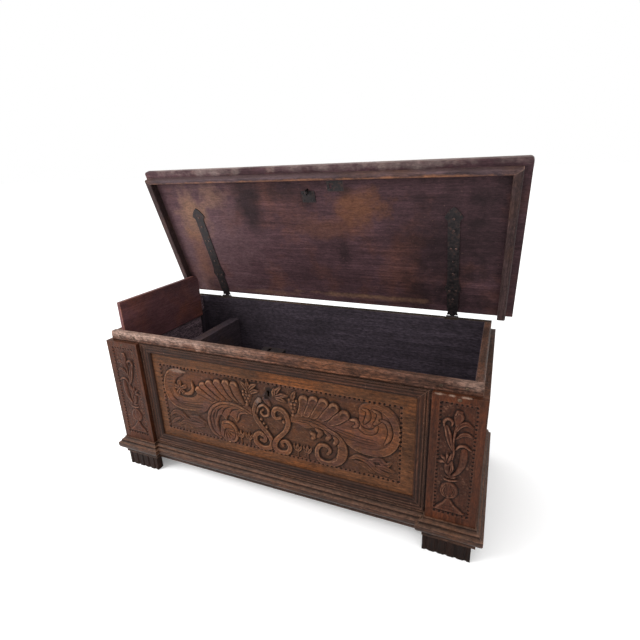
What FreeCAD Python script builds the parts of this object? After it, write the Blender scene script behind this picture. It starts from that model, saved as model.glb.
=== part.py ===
import FreeCAD, Part
import math
import os
import Sketcher

# Cassone: a joined front with a carved panel between two pilasters, mitred base mouldings on block feet,
# a lid on two iron strap hinges, and a till with its own lid at the left end.
# Chest coordinates: X across with 0 in the middle, Y back from the pilasters' face, Z up from the floor.

document = FreeCAD.newDocument("Cassone")
sheet = document.addObject("Spreadsheet::Sheet", "Sizes")
Vector = FreeCAD.Vector
parts = []


class Size:
    """A number together with the sheet expression that gives it."""

    def __init__(self, value, text):
        self.value = value
        self.text = text

    def __add__(self, other):
        return combine(self, other, "+")

    def __radd__(self, other):
        return combine(other, self, "+")

    def __sub__(self, other):
        return combine(self, other, "-")

    def __rsub__(self, other):
        return combine(other, self, "-")

    def __mul__(self, other):
        return combine(self, other, "*")

    def __rmul__(self, other):
        return combine(other, self, "*")

    def __truediv__(self, other):
        return combine(self, other, "/")

    def __neg__(self):
        return Size(-self.value, "(-%s)" % self.text)


def as_size(item):
    return item if isinstance(item, Size) else Size(float(item), repr(float(item)))


def combine(first, second, sign):
    """The sum, difference, product or quotient, as a number and as an expression."""
    first, second = as_size(first), as_size(second)
    if sign == "+":
        value = first.value + second.value
    elif sign == "-":
        value = first.value - second.value
    elif sign == "*":
        value = first.value * second.value
    else:
        value = first.value / second.value
    return Size(value, "(%s %s %s)" % (first.text, sign, second.text))


def cosine(angle):
    return Size(math.cos(math.radians(angle.value)), "cos(%s)" % angle.text)


def sine(angle):
    return Size(math.sin(math.radians(angle.value)), "sin(%s)" % angle.text)


def square_root(size):
    return Size(math.sqrt(size.value), "sqrt(%s)" % size.text)


def add_size(alias, value):
    """One driving dimension: a cell with its alias."""
    add_size.row += 1
    cell = "A%d" % add_size.row
    sheet.set(cell, str(value))
    sheet.setAlias(cell, alias)
    return Size(float(value), "Sizes." + alias)


add_size.row = 0

# Overall sizes
front_width = add_size("front_width", 1400)
chest_depth = add_size("chest_depth", 577)
foot_height = add_size("foot_height", 57)
ledge_height = add_size("ledge_height", 567)
rim_rise = add_size("rim_rise", 35)
wall = add_size("wall", 26.5)
facing = add_size("facing", 17)
fit_gap = add_size("fit_gap", 0.3)
overrun = add_size("overrun", 5)

# Front frame and carved panel
top_rail_height = add_size("top_rail_height", 66)
bottom_rail_height = add_size("bottom_rail_height", 108)
stile_width = add_size("stile_width", 172.5)
rim_round_outer = add_size("rim_round_outer", 8)
rim_round_inner = add_size("rim_round_inner", 5)
panel_recess = add_size("panel_recess", 8)
tongue_depth = add_size("tongue_depth", 8)
tongue_thickness = add_size("tongue_thickness", 7)
field_margin_left = add_size("field_margin_left", 29)
field_margin_right = add_size("field_margin_right", 39.5)
field_margin_top = add_size("field_margin_top", 38.5)
field_margin_bottom = add_size("field_margin_bottom", 34)
field_sink = add_size("field_sink", 4)
keyhole_below_ledge = add_size("keyhole_below_ledge", 114)
keyhole_offset = add_size("keyhole_offset", 2)
keyhole_radius = add_size("keyhole_radius", 5.5)
keyhole_slot_width = add_size("keyhole_slot_width", 6.5)
keyhole_drop = add_size("keyhole_drop", 18)

# Mouldings round the panel
frame_lip = add_size("frame_lip", 6)
frame_reach = add_size("frame_reach", 31)
frame_rise = add_size("frame_rise", 5.5)

# Pilasters
pilaster_width = add_size("pilaster_width", 151)
pilaster_margin = add_size("pilaster_margin", 22)
pilaster_margin_top = add_size("pilaster_margin_top", 21)
pilaster_margin_bottom = add_size("pilaster_margin_bottom", 27)
pilaster_sink = add_size("pilaster_sink", 3.5)

# Base mouldings
base_height = add_size("base_height", 73)
base_reach = add_size("base_reach", 25.7)

# Feet
foot_width = add_size("foot_width", 147.8)
foot_inset = add_size("foot_inset", 6)
foot_thickness = add_size("foot_thickness", 28)
foot_reach = add_size("foot_reach", 6.5)
flute_radius = add_size("flute_radius", 7)
flute_depth = add_size("flute_depth", 3)
flute_count = 5

# Side facings
side_stile_width = add_size("side_stile_width", 92)
side_top_rail_height = add_size("side_top_rail_height", 86)
side_bottom_rail_height = add_size("side_bottom_rail_height", 146)

# Floor
floor_thickness = add_size("floor_thickness", 16)
cleat_height = add_size("cleat_height", 20)
cleat_width = add_size("cleat_width", 22)
cleat_drop = add_size("cleat_drop", 3)
plank_gap = add_size("plank_gap", 1)
plank_count = 3

# Till
till_lid_thickness = add_size("till_lid_thickness", 14)
till_lid_width = add_size("till_lid_width", 198)
till_lid_corner = add_size("till_lid_corner", 34)
till_lid_front_corner = add_size("till_lid_front_corner", 3)
till_side_gap = add_size("till_side_gap", 1.5)
till_end_gap = add_size("till_end_gap", 0.8)
till_axis_drop = add_size("till_axis_drop", 88)
till_open_angle = add_size("till_open_angle", 90)
till_dip_angle = add_size("till_dip_angle", 3)
till_compartment = add_size("till_compartment", 184.5)
till_divider_thickness = add_size("till_divider_thickness", 16)
till_rest_width = add_size("till_rest_width", 30)
till_rest_thickness = add_size("till_rest_thickness", 14)
till_depth = add_size("till_depth", 199)
till_bottom_thickness = add_size("till_bottom_thickness", 12)
till_post_depth = add_size("till_post_depth", 34)
till_post_width = add_size("till_post_width", 26)
till_post_rise = add_size("till_post_rise", 14)
pintle_radius = add_size("pintle_radius", 5.5)
pintle_length = add_size("pintle_length", 10)
pintle_clearance = add_size("pintle_clearance", 0.06)
seat_gap = add_size("seat_gap", 0.5)

# Strap hinges
strap_thickness = add_size("strap_thickness", 3.2)
pin_radius = add_size("pin_radius", 4.5)
pin_clearance = add_size("pin_clearance", 0.06)
pin_head_radius = add_size("pin_head_radius", 6.2)
pin_head_length = add_size("pin_head_length", 2.5)
knuckle_gap = add_size("knuckle_gap", 0.6)
centre_knuckle = add_size("centre_knuckle", 17)
barrel_length = add_size("barrel_length", 43)
strap_width = add_size("strap_width", 42)
strap_length_left = add_size("strap_length_left", 433)
strap_length_right = add_size("strap_length_right", 440)
strap_lean_left = add_size("strap_lean_left", 12)
strap_lean_right = add_size("strap_lean_right", 7)
strap_inset = add_size("strap_inset", 165)
leaf_length = add_size("leaf_length", 150)
back_gap = add_size("back_gap", 0.4)
notch_depth = add_size("notch_depth", 4.4)
notch_clearance = add_size("notch_clearance", 4)

# Lid
lid_open_angle = add_size("lid_open_angle", 71.3)
lid_thickness = add_size("lid_thickness", 26)
lid_side_reach = add_size("lid_side_reach", 52.8)
lid_edge_round = add_size("lid_edge_round", 9)
lid_corner_round = add_size("lid_corner_round", 12)
rear_gap = add_size("rear_gap", 22.5)
batten_width = add_size("batten_width", 28.3)
batten_front_width = add_size("batten_front_width", 17.5)
batten_ledge_gap = add_size("batten_ledge_gap", 1)
batten_rim_gap = add_size("batten_rim_gap", 6.4)
batten_round = add_size("batten_round", 7)
batten_inner_round = add_size("batten_inner_round", 4)
overhang_front = add_size("overhang_front", 25.2)
overhang_left = add_size("overhang_left", 13)
overhang_right = add_size("overhang_right", 25.2)
batten_rear_inset = add_size("batten_rear_inset", 4)

# Lock, staple and catch plate
lock_width = add_size("lock_width", 80)
lock_centre = add_size("lock_centre", 10)
lock_height = add_size("lock_height", 168)
lock_depth = add_size("lock_depth", 34)
lock_sheet = add_size("lock_sheet", 2.5)
lock_flange_depth = add_size("lock_flange_depth", 7)
lock_flange_thickness = add_size("lock_flange_thickness", 4)
lock_top_drop = add_size("lock_top_drop", 3.5)
bolt_size = add_size("bolt_size", 8)
bolt_length = add_size("bolt_length", 40)
bolt_drop = add_size("bolt_drop", 17)
bolt_fit = add_size("bolt_fit", 0.06)
bolt_rest_gap = add_size("bolt_rest_gap", 4)
bolt_lug = add_size("bolt_lug", 9)
guide_length = add_size("guide_length", 16)
guide_wall = add_size("guide_wall", 3)
guide_start = add_size("guide_start", 8)
staple_offset = add_size("staple_offset", 2)
staple_from_wall = add_size("staple_from_wall", 17)
staple_width = add_size("staple_width", 54)
staple_length = add_size("staple_length", 44)
staple_sheet = add_size("staple_sheet", 2.5)
staple_bar = add_size("staple_bar", 4)
staple_thickness = add_size("staple_thickness", 6)
staple_play = add_size("staple_play", 1)
slot_clearance = add_size("slot_clearance", 2.5)
catch_width = add_size("catch_width", 63)
catch_length = add_size("catch_length", 39)
catch_offset = add_size("catch_offset", 109.5)
catch_inset = add_size("catch_inset", 13.6)
catch_slot_width = add_size("catch_slot_width", 9)
catch_slot_length = add_size("catch_slot_length", 20)
catch_slot_offset = add_size("catch_slot_offset", 18)

# Places that follow from the sizes
carcass_half = front_width / 2 - facing
inner_half = carcass_half - wall
rim_height = ledge_height + rim_rise
inner_front = facing + wall
inner_back = chest_depth - wall
inner_depth = inner_back - inner_front
opening_half = carcass_half - stile_width
opening_bottom = foot_height + bottom_rail_height
opening_top = rim_height - top_rail_height
tongue_front = panel_recess + (wall - panel_recess - tongue_thickness) / 2
floor_bottom = foot_height + cleat_drop + cleat_height

strap_offset = front_width / 2 - strap_inset
barrel_radius = pin_radius + pin_clearance + strap_thickness
axis_y = chest_depth + barrel_radius + back_gap
axis_z = rim_height + seat_gap - barrel_radius
lid_half = front_width / 2 + lid_side_reach
lid_length = axis_y - rear_gap - facing + batten_rim_gap + batten_front_width + overhang_front
lid_front = rear_gap + lid_length
batten_height = rim_rise - batten_ledge_gap
batten_left_face = lid_half - overhang_left
batten_right_face = lid_half - overhang_right
batten_outer_front = lid_front - overhang_front

till_axis_x = till_side_gap + till_lid_thickness / 2 - inner_half
till_axis_z = rim_height - till_axis_drop
till_front = inner_front + till_end_gap
till_lid_length = inner_depth - till_post_depth - till_end_gap - till_end_gap
divider_right = till_compartment + till_divider_thickness - inner_half
divider_reach = divider_right - till_axis_x
till_half_thickness = till_lid_thickness / 2
divider_top = (till_axis_z - divider_reach * sine(till_dip_angle)
               - till_half_thickness / cosine(till_dip_angle) - seat_gap)
till_bottom_level = divider_top - till_depth

# The model's frame has its origin under the middle of the open chest's box
lid_back_reach = (axis_y + (barrel_radius + lid_thickness) * sine(lid_open_angle)
                  - rear_gap * cosine(lid_open_angle))
middle_y = (lid_back_reach - base_reach) / 2

# Lock places, measured from the hinge axis where they belong to the lid
staple_y = inner_front + staple_from_wall - axis_y
staple_half_eye = bolt_size / 2 + staple_play
staple_half = staple_half_eye + staple_bar
bolt_level = rim_height - bolt_drop

# rise of a quarter circle over its chord, as a share of its radius
quarter_share = 1 - math.sqrt(0.5)


def keep(item, label):
    """Give a finished sub-part its name and put it on the list of nodes."""
    item.Label = label
    parts.append(item)
    return item


def bind(item, name, size):
    item.setExpression(name, as_size(size).text)


def place(item, x, y, z, axis=None, angle=0):
    """Put a sub-part's own origin at a chest point, turned about an axis by an angle."""
    turn = FreeCAD.Rotation() if axis is None else FreeCAD.Rotation(axis, as_size(angle).value)
    item.Placement = FreeCAD.Placement(Vector(), turn)
    bind(item, "Placement.Base.x", x)
    bind(item, "Placement.Base.y", y - middle_y)
    bind(item, "Placement.Base.z", z)
    if isinstance(angle, Size):
        bind(item, "Placement.Rotation.Angle", Size(abs(angle.value), "abs(%s)" % angle.text))


def on_lid(item, x=0):
    """Put a lid piece, drawn closed about the hinge axis, at the open angle."""
    place(item, x, axis_y, axis_z, Vector(-1, 0, 0), lid_open_angle)


def board(label, x, y, z):
    """A plain board between the low and high values given for each direction."""
    item = document.addObject("Part::Box", label)
    bind(item, "Length", x[1] - x[0])
    bind(item, "Width", y[1] - y[0])
    bind(item, "Height", z[1] - z[0])
    place(item, x[0], y[0], z[0])
    return keep(item, label)


def new_body(label):
    body = document.addObject("PartDesign::Body", label)
    return keep(body, label)


def new_sketch(body, role, offset=0):
    """An empty sketch on one of the body's own origin planes, moved along its normal."""
    sketch = body.newObject("Sketcher::SketchObject", body.Name + "Sketch")
    plane = [feature for feature in body.Origin.OriginFeatures if feature.Role == role][0]
    sketch.AttachmentSupport = [(plane, "")]
    sketch.MapMode = "FlatFace"
    if isinstance(offset, Size):
        bind(sketch, "AttachmentOffset.Base.z", offset)
    return sketch


def fix(sketch, kind, size, *where):
    index = sketch.addConstraint(Sketcher.Constraint(kind, *where, as_size(size).value))
    bind(sketch, "Constraints[%d]" % index, size)


def bulge_of(point):
    return as_size(point[2]) if len(point) == 3 else as_size(0)


def draw(sketch, points):
    """Close an outline through points. A third value on a point is the bulge of the arc that
    starts there, positive outwards and negative inwards."""
    ends = [Vector(as_size(point[0]).value, as_size(point[1]).value, 0) for point in points]
    following = ends[1:] + ends[:1]
    turning = sum(a.x * b.y - b.x * a.y for a, b in zip(ends, following))
    outward = 1 if turning > 0 else -1
    first = sketch.GeometryCount
    for start, end, point in zip(ends, following, points):
        bulge = bulge_of(point).value
        if bulge:
            run = end - start
            side = Vector(run.y, -run.x, 0).normalize() * outward
            middle = (start + end) / 2 + side * bulge
            # arcs are kept the left-hand way round
            arc = (start, middle, end) if bulge * outward > 0 else (end, middle, start)
            sketch.addGeometry(Part.Arc(*arc), False)
        else:
            sketch.addGeometry(Part.LineSegment(start, end), False)
    shapes = sketch.Geometry[first:]

    def corner(i, target):
        # an arc may be stored the other way round, so its ends are told apart by place
        nearer = (shapes[i].StartPoint - target).Length < (shapes[i].EndPoint - target).Length
        return 1 if nearer else 2

    for i, point in enumerate(points):
        after = (i + 1) % len(points)
        sketch.addConstraint(Sketcher.Constraint("Coincident", first + i, corner(i, ends[after]),
                                                 first + after, corner(after, ends[after])))
        fix(sketch, "DistanceX", point[0], -1, 1, first + i, corner(i, ends[i]))
        fix(sketch, "DistanceY", point[1], -1, 1, first + i, corner(i, ends[i]))
        bulge = bulge_of(point)
        if bulge.value:
            # the centre lies on the chord's bisector, so one of its two places fixes it
            across = points[after][0] - as_size(point[0])
            rise = points[after][1] - as_size(point[1])
            chord = square_root(across * across + rise * rise)
            back = outward * (chord / (8 * bulge) - bulge / (2 * chord))
            if abs(rise.value) > abs(across.value):
                fix(sketch, "DistanceX", point[0] + across / 2 - rise * back, -1, 1, first + i, 3)
            else:
                fix(sketch, "DistanceY", point[1] + rise / 2 + across * back, -1, 1, first + i, 3)


def draw_circle(sketch, across, up, radius):
    centre = Vector(as_size(across).value, as_size(up).value, 0)
    index = sketch.addGeometry(Part.Circle(centre, Vector(0, 0, 1), as_size(radius).value), False)
    fix(sketch, "DistanceX", across, -1, 1, index, 3)
    fix(sketch, "DistanceY", up, -1, 1, index, 3)
    fix(sketch, "Radius", radius, index)


def rectangle(left, low, right, high):
    return [(left, low), (right, low), (right, high), (left, high)]


def extrude(body, kind, sketch, length, side="One side", backwards=False):
    """A Pad or a Pocket of one sketch, which has to change the body's volume the right way."""
    before = body.Shape.Volume if body.Tip else 0
    feature = body.newObject("PartDesign::" + kind, body.Name + kind)
    feature.Profile = sketch
    feature.SideType = side
    feature.Reversed = backwards
    bind(feature, "Length", length)
    document.recompute()
    grown = body.Shape.Volume - before
    if (grown > 0) != (kind == "Pad") or grown == 0:
        raise RuntimeError("%s of %s changed the volume by %g" % (kind, body.Label, grown))
    return feature


def block(body, role, points, length, offset=0, side="One side", backwards=False):
    sketch = new_sketch(body, role, offset)
    draw(sketch, points)
    return extrude(body, "Pad", sketch, length, side, backwards)


def cut(body, role, points, length, offset=0, side="One side", backwards=False):
    sketch = new_sketch(body, role, offset)
    draw(sketch, points)
    return extrude(body, "Pocket", sketch, length, side, backwards)


def rod(body, role, across, up, radius, length, offset=0, side="One side", backwards=False, kind="Pad"):
    sketch = new_sketch(body, role, offset)
    draw_circle(sketch, across, up, radius)
    return extrude(body, kind, sketch, length, side, backwards)


def edges_where(shape, test):
    """The names of the edges whose middle point passes the test."""
    names = []
    for number, edge in enumerate(shape.Edges, 1):
        middle = edge.valueAt((edge.FirstParameter + edge.LastParameter) / 2)
        if test(middle, edge):
            names.append("Edge%d" % number)
    return names


def round_edges(body, base, test, radius):
    feature = body.newObject("PartDesign::Fillet", body.Name + "Round")
    feature.Base = (base, edges_where(base.Shape, test))
    bind(feature, "Radius", radius)
    document.recompute()
    return feature


# Front frame

def top_rail():
    body = new_body("front_top_rail")
    groove = tongue_depth + fit_gap
    back_of_tongue = tongue_front + tongue_thickness
    outline = [
        (0, 0), (tongue_front - fit_gap, 0), (tongue_front - fit_gap, groove),
        (back_of_tongue + fit_gap, groove), (back_of_tongue + fit_gap, 0), (wall, 0),
        (wall, top_rail_height - rim_round_inner, quarter_share * rim_round_inner),
        (wall - rim_round_inner, top_rail_height), (rim_round_outer, top_rail_height,
                                                    quarter_share * rim_round_outer),
        (0, top_rail_height - rim_round_outer)]
    block(body, "YZ_Plane", outline, 2 * carcass_half, side="Symmetric")
    # the lock's top flange is let into the inner edge of the rim
    half_notch = lock_width / 2 + fit_gap
    notch = rectangle(lock_centre - half_notch, wall - lock_flange_depth - fit_gap,
                      lock_centre + half_notch, wall + overrun)
    level = top_rail_height - lock_top_drop - lock_flange_thickness
    cut(body, "XY_Plane", notch, lock_flange_thickness + overrun, offset=level, backwards=True)
    place(body, 0, facing, opening_top)


def bottom_rail():
    body = new_body("front_bottom_rail")
    groove_floor = bottom_rail_height - tongue_depth - fit_gap
    back_of_tongue = tongue_front + tongue_thickness
    outline = [
        (0, 0), (wall, 0), (wall, bottom_rail_height), (back_of_tongue + fit_gap, bottom_rail_height),
        (back_of_tongue + fit_gap, groove_floor), (tongue_front - fit_gap, groove_floor),
        (tongue_front - fit_gap, bottom_rail_height), (0, bottom_rail_height)]
    block(body, "YZ_Plane", outline, 2 * opening_half, side="Symmetric")
    place(body, 0, facing, foot_height)


def stile(label, side):
    """An upright of the front frame, grooved on its inner edge for the panel."""
    body = new_body(label)
    groove = side * (tongue_depth + fit_gap)
    back_of_tongue = tongue_front + tongue_thickness
    outline = [
        (0, 0), (side * stile_width, 0), (side * stile_width, wall), (0, wall),
        (0, back_of_tongue + fit_gap), (groove, back_of_tongue + fit_gap),
        (groove, tongue_front - fit_gap), (0, tongue_front - fit_gap)]
    block(body, "XY_Plane", outline, opening_top - foot_height)
    if side < 0:
        # socket of the till lid's front pintle
        rod(body, "XZ_Plane", till_axis_x + opening_half, till_axis_z - foot_height,
            pintle_radius + pintle_clearance, pintle_length + fit_gap + till_end_gap, offset=-wall,
            backwards=True, kind="Pocket")
    place(body, side * opening_half, facing, foot_height)


def carved_panel():
    """The panel in its grooves, with the sunk field of the carving and the keyhole."""
    body = new_body("carved_panel")
    half = opening_half - fit_gap
    high = opening_top - opening_bottom - fit_gap
    thickness = wall - panel_recess
    block(body, "XZ_Plane", rectangle(-half, fit_gap, half, high), thickness, offset=-panel_recess,
          backwards=True)
    block(body, "XZ_Plane",
          rectangle(-half - tongue_depth, fit_gap - tongue_depth, half + tongue_depth, high + tongue_depth),
          tongue_thickness, offset=-tongue_front, backwards=True)
    sight_half = opening_half - frame_lip
    field = rectangle(field_margin_left - sight_half, frame_lip + field_margin_bottom,
                      sight_half - field_margin_right,
                      opening_top - opening_bottom - frame_lip - field_margin_top)
    cut(body, "XZ_Plane", field, field_sink, offset=-panel_recess)
    key_level = ledge_height - keyhole_below_ledge - opening_bottom
    slot_half = keyhole_slot_width / 2
    rod(body, "XZ_Plane", -keyhole_offset, key_level, keyhole_radius, wall + overrun,
        kind="Pocket")
    slot = rectangle(-keyhole_offset - slot_half, key_level - keyhole_drop,
                     slot_half - keyhole_offset, key_level)
    cut(body, "XZ_Plane", slot, wall + overrun)
    place(body, 0, facing, opening_bottom)


FRAME_SHARES = (
    # rise, distance from the opening's edge and bulge towards the next point,
    # as shares of the rise, the reach and the rise
    (0.00, 1.00, 0.00), (1.00, 1.00, 0.00), (1.00, 0.84, -0.16), (0.36, 0.71, 0.32),
    (0.36, 0.56, 0.00), (0.33, 0.13, 0.40))


def frame_moulding(label, length, x, z, turn):
    """One mitred length of the moulding that covers the edge of the panel's opening.
    It is drawn along X with Z outwards from the opening's edge and -Y towards the viewer."""
    body = new_body(label)
    lip_share = 0.6
    outline = [(lip_share * panel_recess, -frame_lip), (panel_recess, -frame_lip), (panel_recess, 0),
               (0, 0)]
    for rise, out, bulge in FRAME_SHARES:
        outline.append((-rise * frame_rise, out * frame_reach, bulge * frame_rise))
    half = length / 2
    block(body, "YZ_Plane", outline, 2 * (half + frame_reach), side="Symmetric")
    for side in (-1, 1):
        mitre = [(side * (half - frame_lip - overrun), -frame_lip - overrun),
                 (side * (half + frame_reach + overrun), frame_reach + overrun),
                 (side * (half + frame_reach + overrun), -frame_lip - overrun)]
        cut(body, "XZ_Plane", mitre, 2 * (panel_recess + frame_rise + overrun), side="Symmetric")
    place(body, x, facing, z, Vector(0, 1, 0), turn)


def panel_frame():
    wide = 2 * opening_half
    high = opening_top - opening_bottom
    centre = (opening_top + opening_bottom) / 2
    frame_moulding("frame_moulding_top", wide, 0, opening_top, 0)
    frame_moulding("frame_moulding_bottom", wide, 0, opening_bottom, 180)
    frame_moulding("frame_moulding_right", high, opening_half, centre, 90)
    frame_moulding("frame_moulding_left", high, -opening_half, centre, -90)


def pilaster(label, side):
    """A board with a sunk field, from the underside of the base moulding to the ledge."""
    body = new_body(label)
    high = ledge_height - foot_height
    half = pilaster_width / 2
    block(body, "XZ_Plane", rectangle(-half, 0, half, high), facing, backwards=True)
    field = rectangle(pilaster_margin - half, base_height + pilaster_margin_bottom,
                      half - pilaster_margin, high - pilaster_margin_top)
    cut(body, "XZ_Plane", field, pilaster_sink)
    place(body, side * (front_width - pilaster_width) / 2, 0, foot_height)


# Carcass

def side_board(label, side):
    """An end of the chest. Its rounded top is the rim."""
    body = new_body(label)
    high = rim_height - foot_height
    outline = [
        (0, 0), (side * wall, 0),
        (side * wall, high - rim_round_outer, quarter_share * rim_round_outer),
        (side * (wall - rim_round_outer), high),
        (side * rim_round_inner, high, quarter_share * rim_round_inner),
        (0, high - rim_round_inner)]
    block(body, "XZ_Plane", outline, inner_depth, backwards=True)
    place(body, side * inner_half, inner_front, foot_height)


def back_board():
    """The back, with a shallow notch in its top edge under each strap."""
    body = new_body("back_board")
    high = rim_height - foot_height
    outline = [
        (0, 0), (wall, 0), (wall, high - rim_round_inner, quarter_share * rim_round_inner),
        (wall - rim_round_inner, high), (rim_round_inner, high, quarter_share * rim_round_inner),
        (0, high - rim_round_inner)]
    block(body, "YZ_Plane", outline, 2 * carcass_half, side="Symmetric")
    half = strap_width / 2 + notch_clearance
    for side in (-1, 1):
        notch = rectangle(side * strap_offset - half, high - notch_depth,
                          side * strap_offset + half, high + overrun)
        cut(body, "XZ_Plane", notch, wall + overrun, offset=overrun / 2)
    place(body, 0, inner_back, foot_height)


def side_facing(suffix, side):
    """Two stiles and two rails on the outside of an end board. Their top is the ledge."""
    faces = (carcass_half, carcass_half + facing) if side > 0 else (-carcass_half - facing, -carcass_half)
    low, high = foot_height, ledge_height
    front_end = facing + side_stile_width
    rear_end = chest_depth - side_stile_width
    board("side_front_stile_" + suffix, faces, (facing, front_end), (low, high))
    board("side_rear_stile_" + suffix, faces, (rear_end, chest_depth), (low, high))
    board("side_top_rail_" + suffix, faces, (front_end, rear_end), (high - side_top_rail_height, high))
    board("side_bottom_rail_" + suffix, faces, (front_end, rear_end), (low, low + side_bottom_rail_height))


def floor():
    """Planks side by side on a cleat along the front and another along the back."""
    span = (-inner_half, inner_half)
    under = (floor_bottom - cleat_height, floor_bottom)
    board("floor_cleat_front", span, (inner_front, inner_front + cleat_width), under)
    board("floor_cleat_rear", span, (inner_back - cleat_width, inner_back), under)
    pitch = (inner_depth + plank_gap) / plank_count
    planks = document.addObject("Part::Compound", "floor_boards")
    links = []
    for number in range(plank_count):
        plank = document.addObject("Part::Box", "floor_plank")
        bind(plank, "Length", 2 * inner_half)
        bind(plank, "Width", pitch - plank_gap)
        bind(plank, "Height", floor_thickness)
        bind(plank, "Placement.Base.y", number * pitch)
        links.append(plank)
    planks.Links = links
    place(planks, -inner_half, inner_front, floor_bottom)
    keep(planks, "floor_boards")


# Base mouldings

BASE_SHARES = (
    # projection, height and bulge towards the next point, as shares of the reach, the height
    # and the reach
    (0.00, 0.00, 0.00), (0.23, 0.00, 0.00), (0.23, 0.11, -0.09), (0.43, 0.27, 0.00),
    (0.51, 0.27, 0.14), (1.00, 0.56, 0.00), (1.00, 0.68, -0.08), (0.60, 0.77, 0.00),
    (0.60, 0.84, -0.09), (0.19, 0.94, 0.00), (0.19, 1.00, 0.00), (0.00, 1.00, 0.00))


def base_moulding(label, start, end, start_turn, end_turn, x, y, turn):
    """One length of the base moulding, drawn along X with its back on Y = 0.
    A turn of 1 is an outside mitre at that end, -1 an inside mitre and 0 a square end."""
    body = new_body(label)
    outline = [(-out * base_reach, rise * base_height, bulge * base_reach)
               for out, rise, bulge in BASE_SHARES]
    left = start - base_reach if start_turn > 0 else start
    right = end + base_reach if end_turn > 0 else end
    block(body, "YZ_Plane", outline, right - left, offset=left)
    for at, sense, mitre in ((start, -1, start_turn), (end, 1, end_turn)):
        if mitre == 0:
            continue
        out = base_reach + overrun
        lean = sense * mitre
        corner = at + sense * (out if mitre > 0 else overrun)
        wedge = [(at - lean * overrun, overrun), (at + lean * out, -out),
                 (corner, overrun if mitre > 0 else -out)]
        cut(body, "XY_Plane", wedge, 2 * (base_height + overrun), side="Symmetric")
    place(body, x, y, foot_height, Vector(0, 0, 1), turn)


def base_mouldings():
    half = front_width / 2
    inner_edge = half - pilaster_width
    base_moulding("base_moulding_centre", -inner_edge, inner_edge, -1, -1, 0, facing, 0)
    base_moulding("base_moulding_pilaster_left", as_size(0), pilaster_width, 1, 1, -half, 0, 0)
    base_moulding("base_moulding_pilaster_right", as_size(0), pilaster_width, 1, 1, inner_edge, 0, 0)
    # the returns run back along the pilasters' inner edges
    base_moulding("base_return_left", as_size(0), facing, 1, -1, -inner_edge, 0, 90)
    base_moulding("base_return_right", -facing, as_size(0), -1, 1, inner_edge, 0, -90)
    base_moulding("base_moulding_side_right", as_size(0), chest_depth, 1, 0, half, 0, 90)
    base_moulding("base_moulding_side_left", -chest_depth, as_size(0), 0, 1, -half, 0, -90)


def foot(label, side, front):
    """A block foot. The front ones stand a little proud and are fluted."""
    body = new_body(label)
    block(body, "XZ_Plane", rectangle(0, 0, foot_width, foot_height), foot_thickness, backwards=True)
    if front:
        sketch = new_sketch(body, "XY_Plane")
        pitch = foot_width / flute_count
        draw_circle(sketch, pitch / 2, flute_depth - flute_radius, flute_radius)
        flute = extrude(body, "Pocket", sketch, foot_height, backwards=True)
        pattern = body.newObject("PartDesign::LinearPattern", "Flutes")
        pattern.Originals = [flute]
        pattern.Direction = (sketch, ["H_Axis"])
        pattern.Occurrences = flute_count
        bind(pattern, "Length", pitch * (flute_count - 1))
        body.Tip = pattern
    half = front_width / 2
    x = foot_inset - half if side < 0 else half - foot_inset - foot_width
    place(body, x, -foot_reach if front else chest_depth - foot_thickness, 0)


# Till

def till():
    depth = (inner_front, inner_back)
    divider_left = divider_right - till_divider_thickness
    board("till_divider", (divider_left, divider_right), depth, (till_bottom_level, divider_top))
    board("till_lid_rest", (divider_left - till_rest_width, divider_left), depth,
          (divider_top - till_rest_thickness, divider_top))
    board("till_bottom", (-inner_half, divider_left), depth,
          (till_bottom_level, till_bottom_level + till_bottom_thickness))


def till_post():
    """Block in the rear corner with the socket of the till lid's rear pintle."""
    body = new_body("till_rear_post")
    high = till_axis_z + till_post_rise - till_bottom_level - till_bottom_thickness
    block(body, "XZ_Plane", rectangle(0, 0, till_post_width, high), till_post_depth, backwards=True)
    rod(body, "XZ_Plane", till_axis_x + inner_half, high - till_post_rise,
        pintle_radius + pintle_clearance, pintle_length + fit_gap + till_end_gap, kind="Pocket")
    place(body, -inner_half, inner_back - till_post_depth, till_bottom_level + till_bottom_thickness)


def till_lid():
    """Board with a rounded hinge edge and two pintles, drawn lying flat along X from its axis."""
    body = new_body("till_lid")
    corner, small = till_lid_corner, till_lid_front_corner
    outline = [
        (0, 0), (till_lid_width - small, 0, quarter_share * small), (till_lid_width, small),
        (till_lid_width, till_lid_length - corner, quarter_share * corner),
        (till_lid_width - corner, till_lid_length), (0, till_lid_length)]
    block(body, "XY_Plane", outline, till_lid_thickness, side="Symmetric")
    rod(body, "XZ_Plane", 0, 0, till_half_thickness, till_lid_length, backwards=True)
    reach = pintle_length + till_end_gap
    rod(body, "XZ_Plane", 0, 0, pintle_radius, till_lid_length + 2 * reach, offset=reach, backwards=True)
    place(body, till_axis_x, till_front, till_axis_z, Vector(0, -1, 0), till_open_angle)


# Strap hinges, drawn about the barrel's axis with the lid closed

STRAP_SHARES = (
    # distance from the lid's rear edge as a share of the strap's length, half width and bulge
    # towards the next point as shares of the strap's width
    (1.000, 0.000, 0.095), (0.909, 0.740, -0.115), (0.843, 0.480, 0.000), (0.370, 0.480, -0.060),
    (0.248, 0.720, 0.000), (0.200, 0.500, 0.000), (0.045, 0.500, 0.000), (0.000, 0.420, 0.000))


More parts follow.
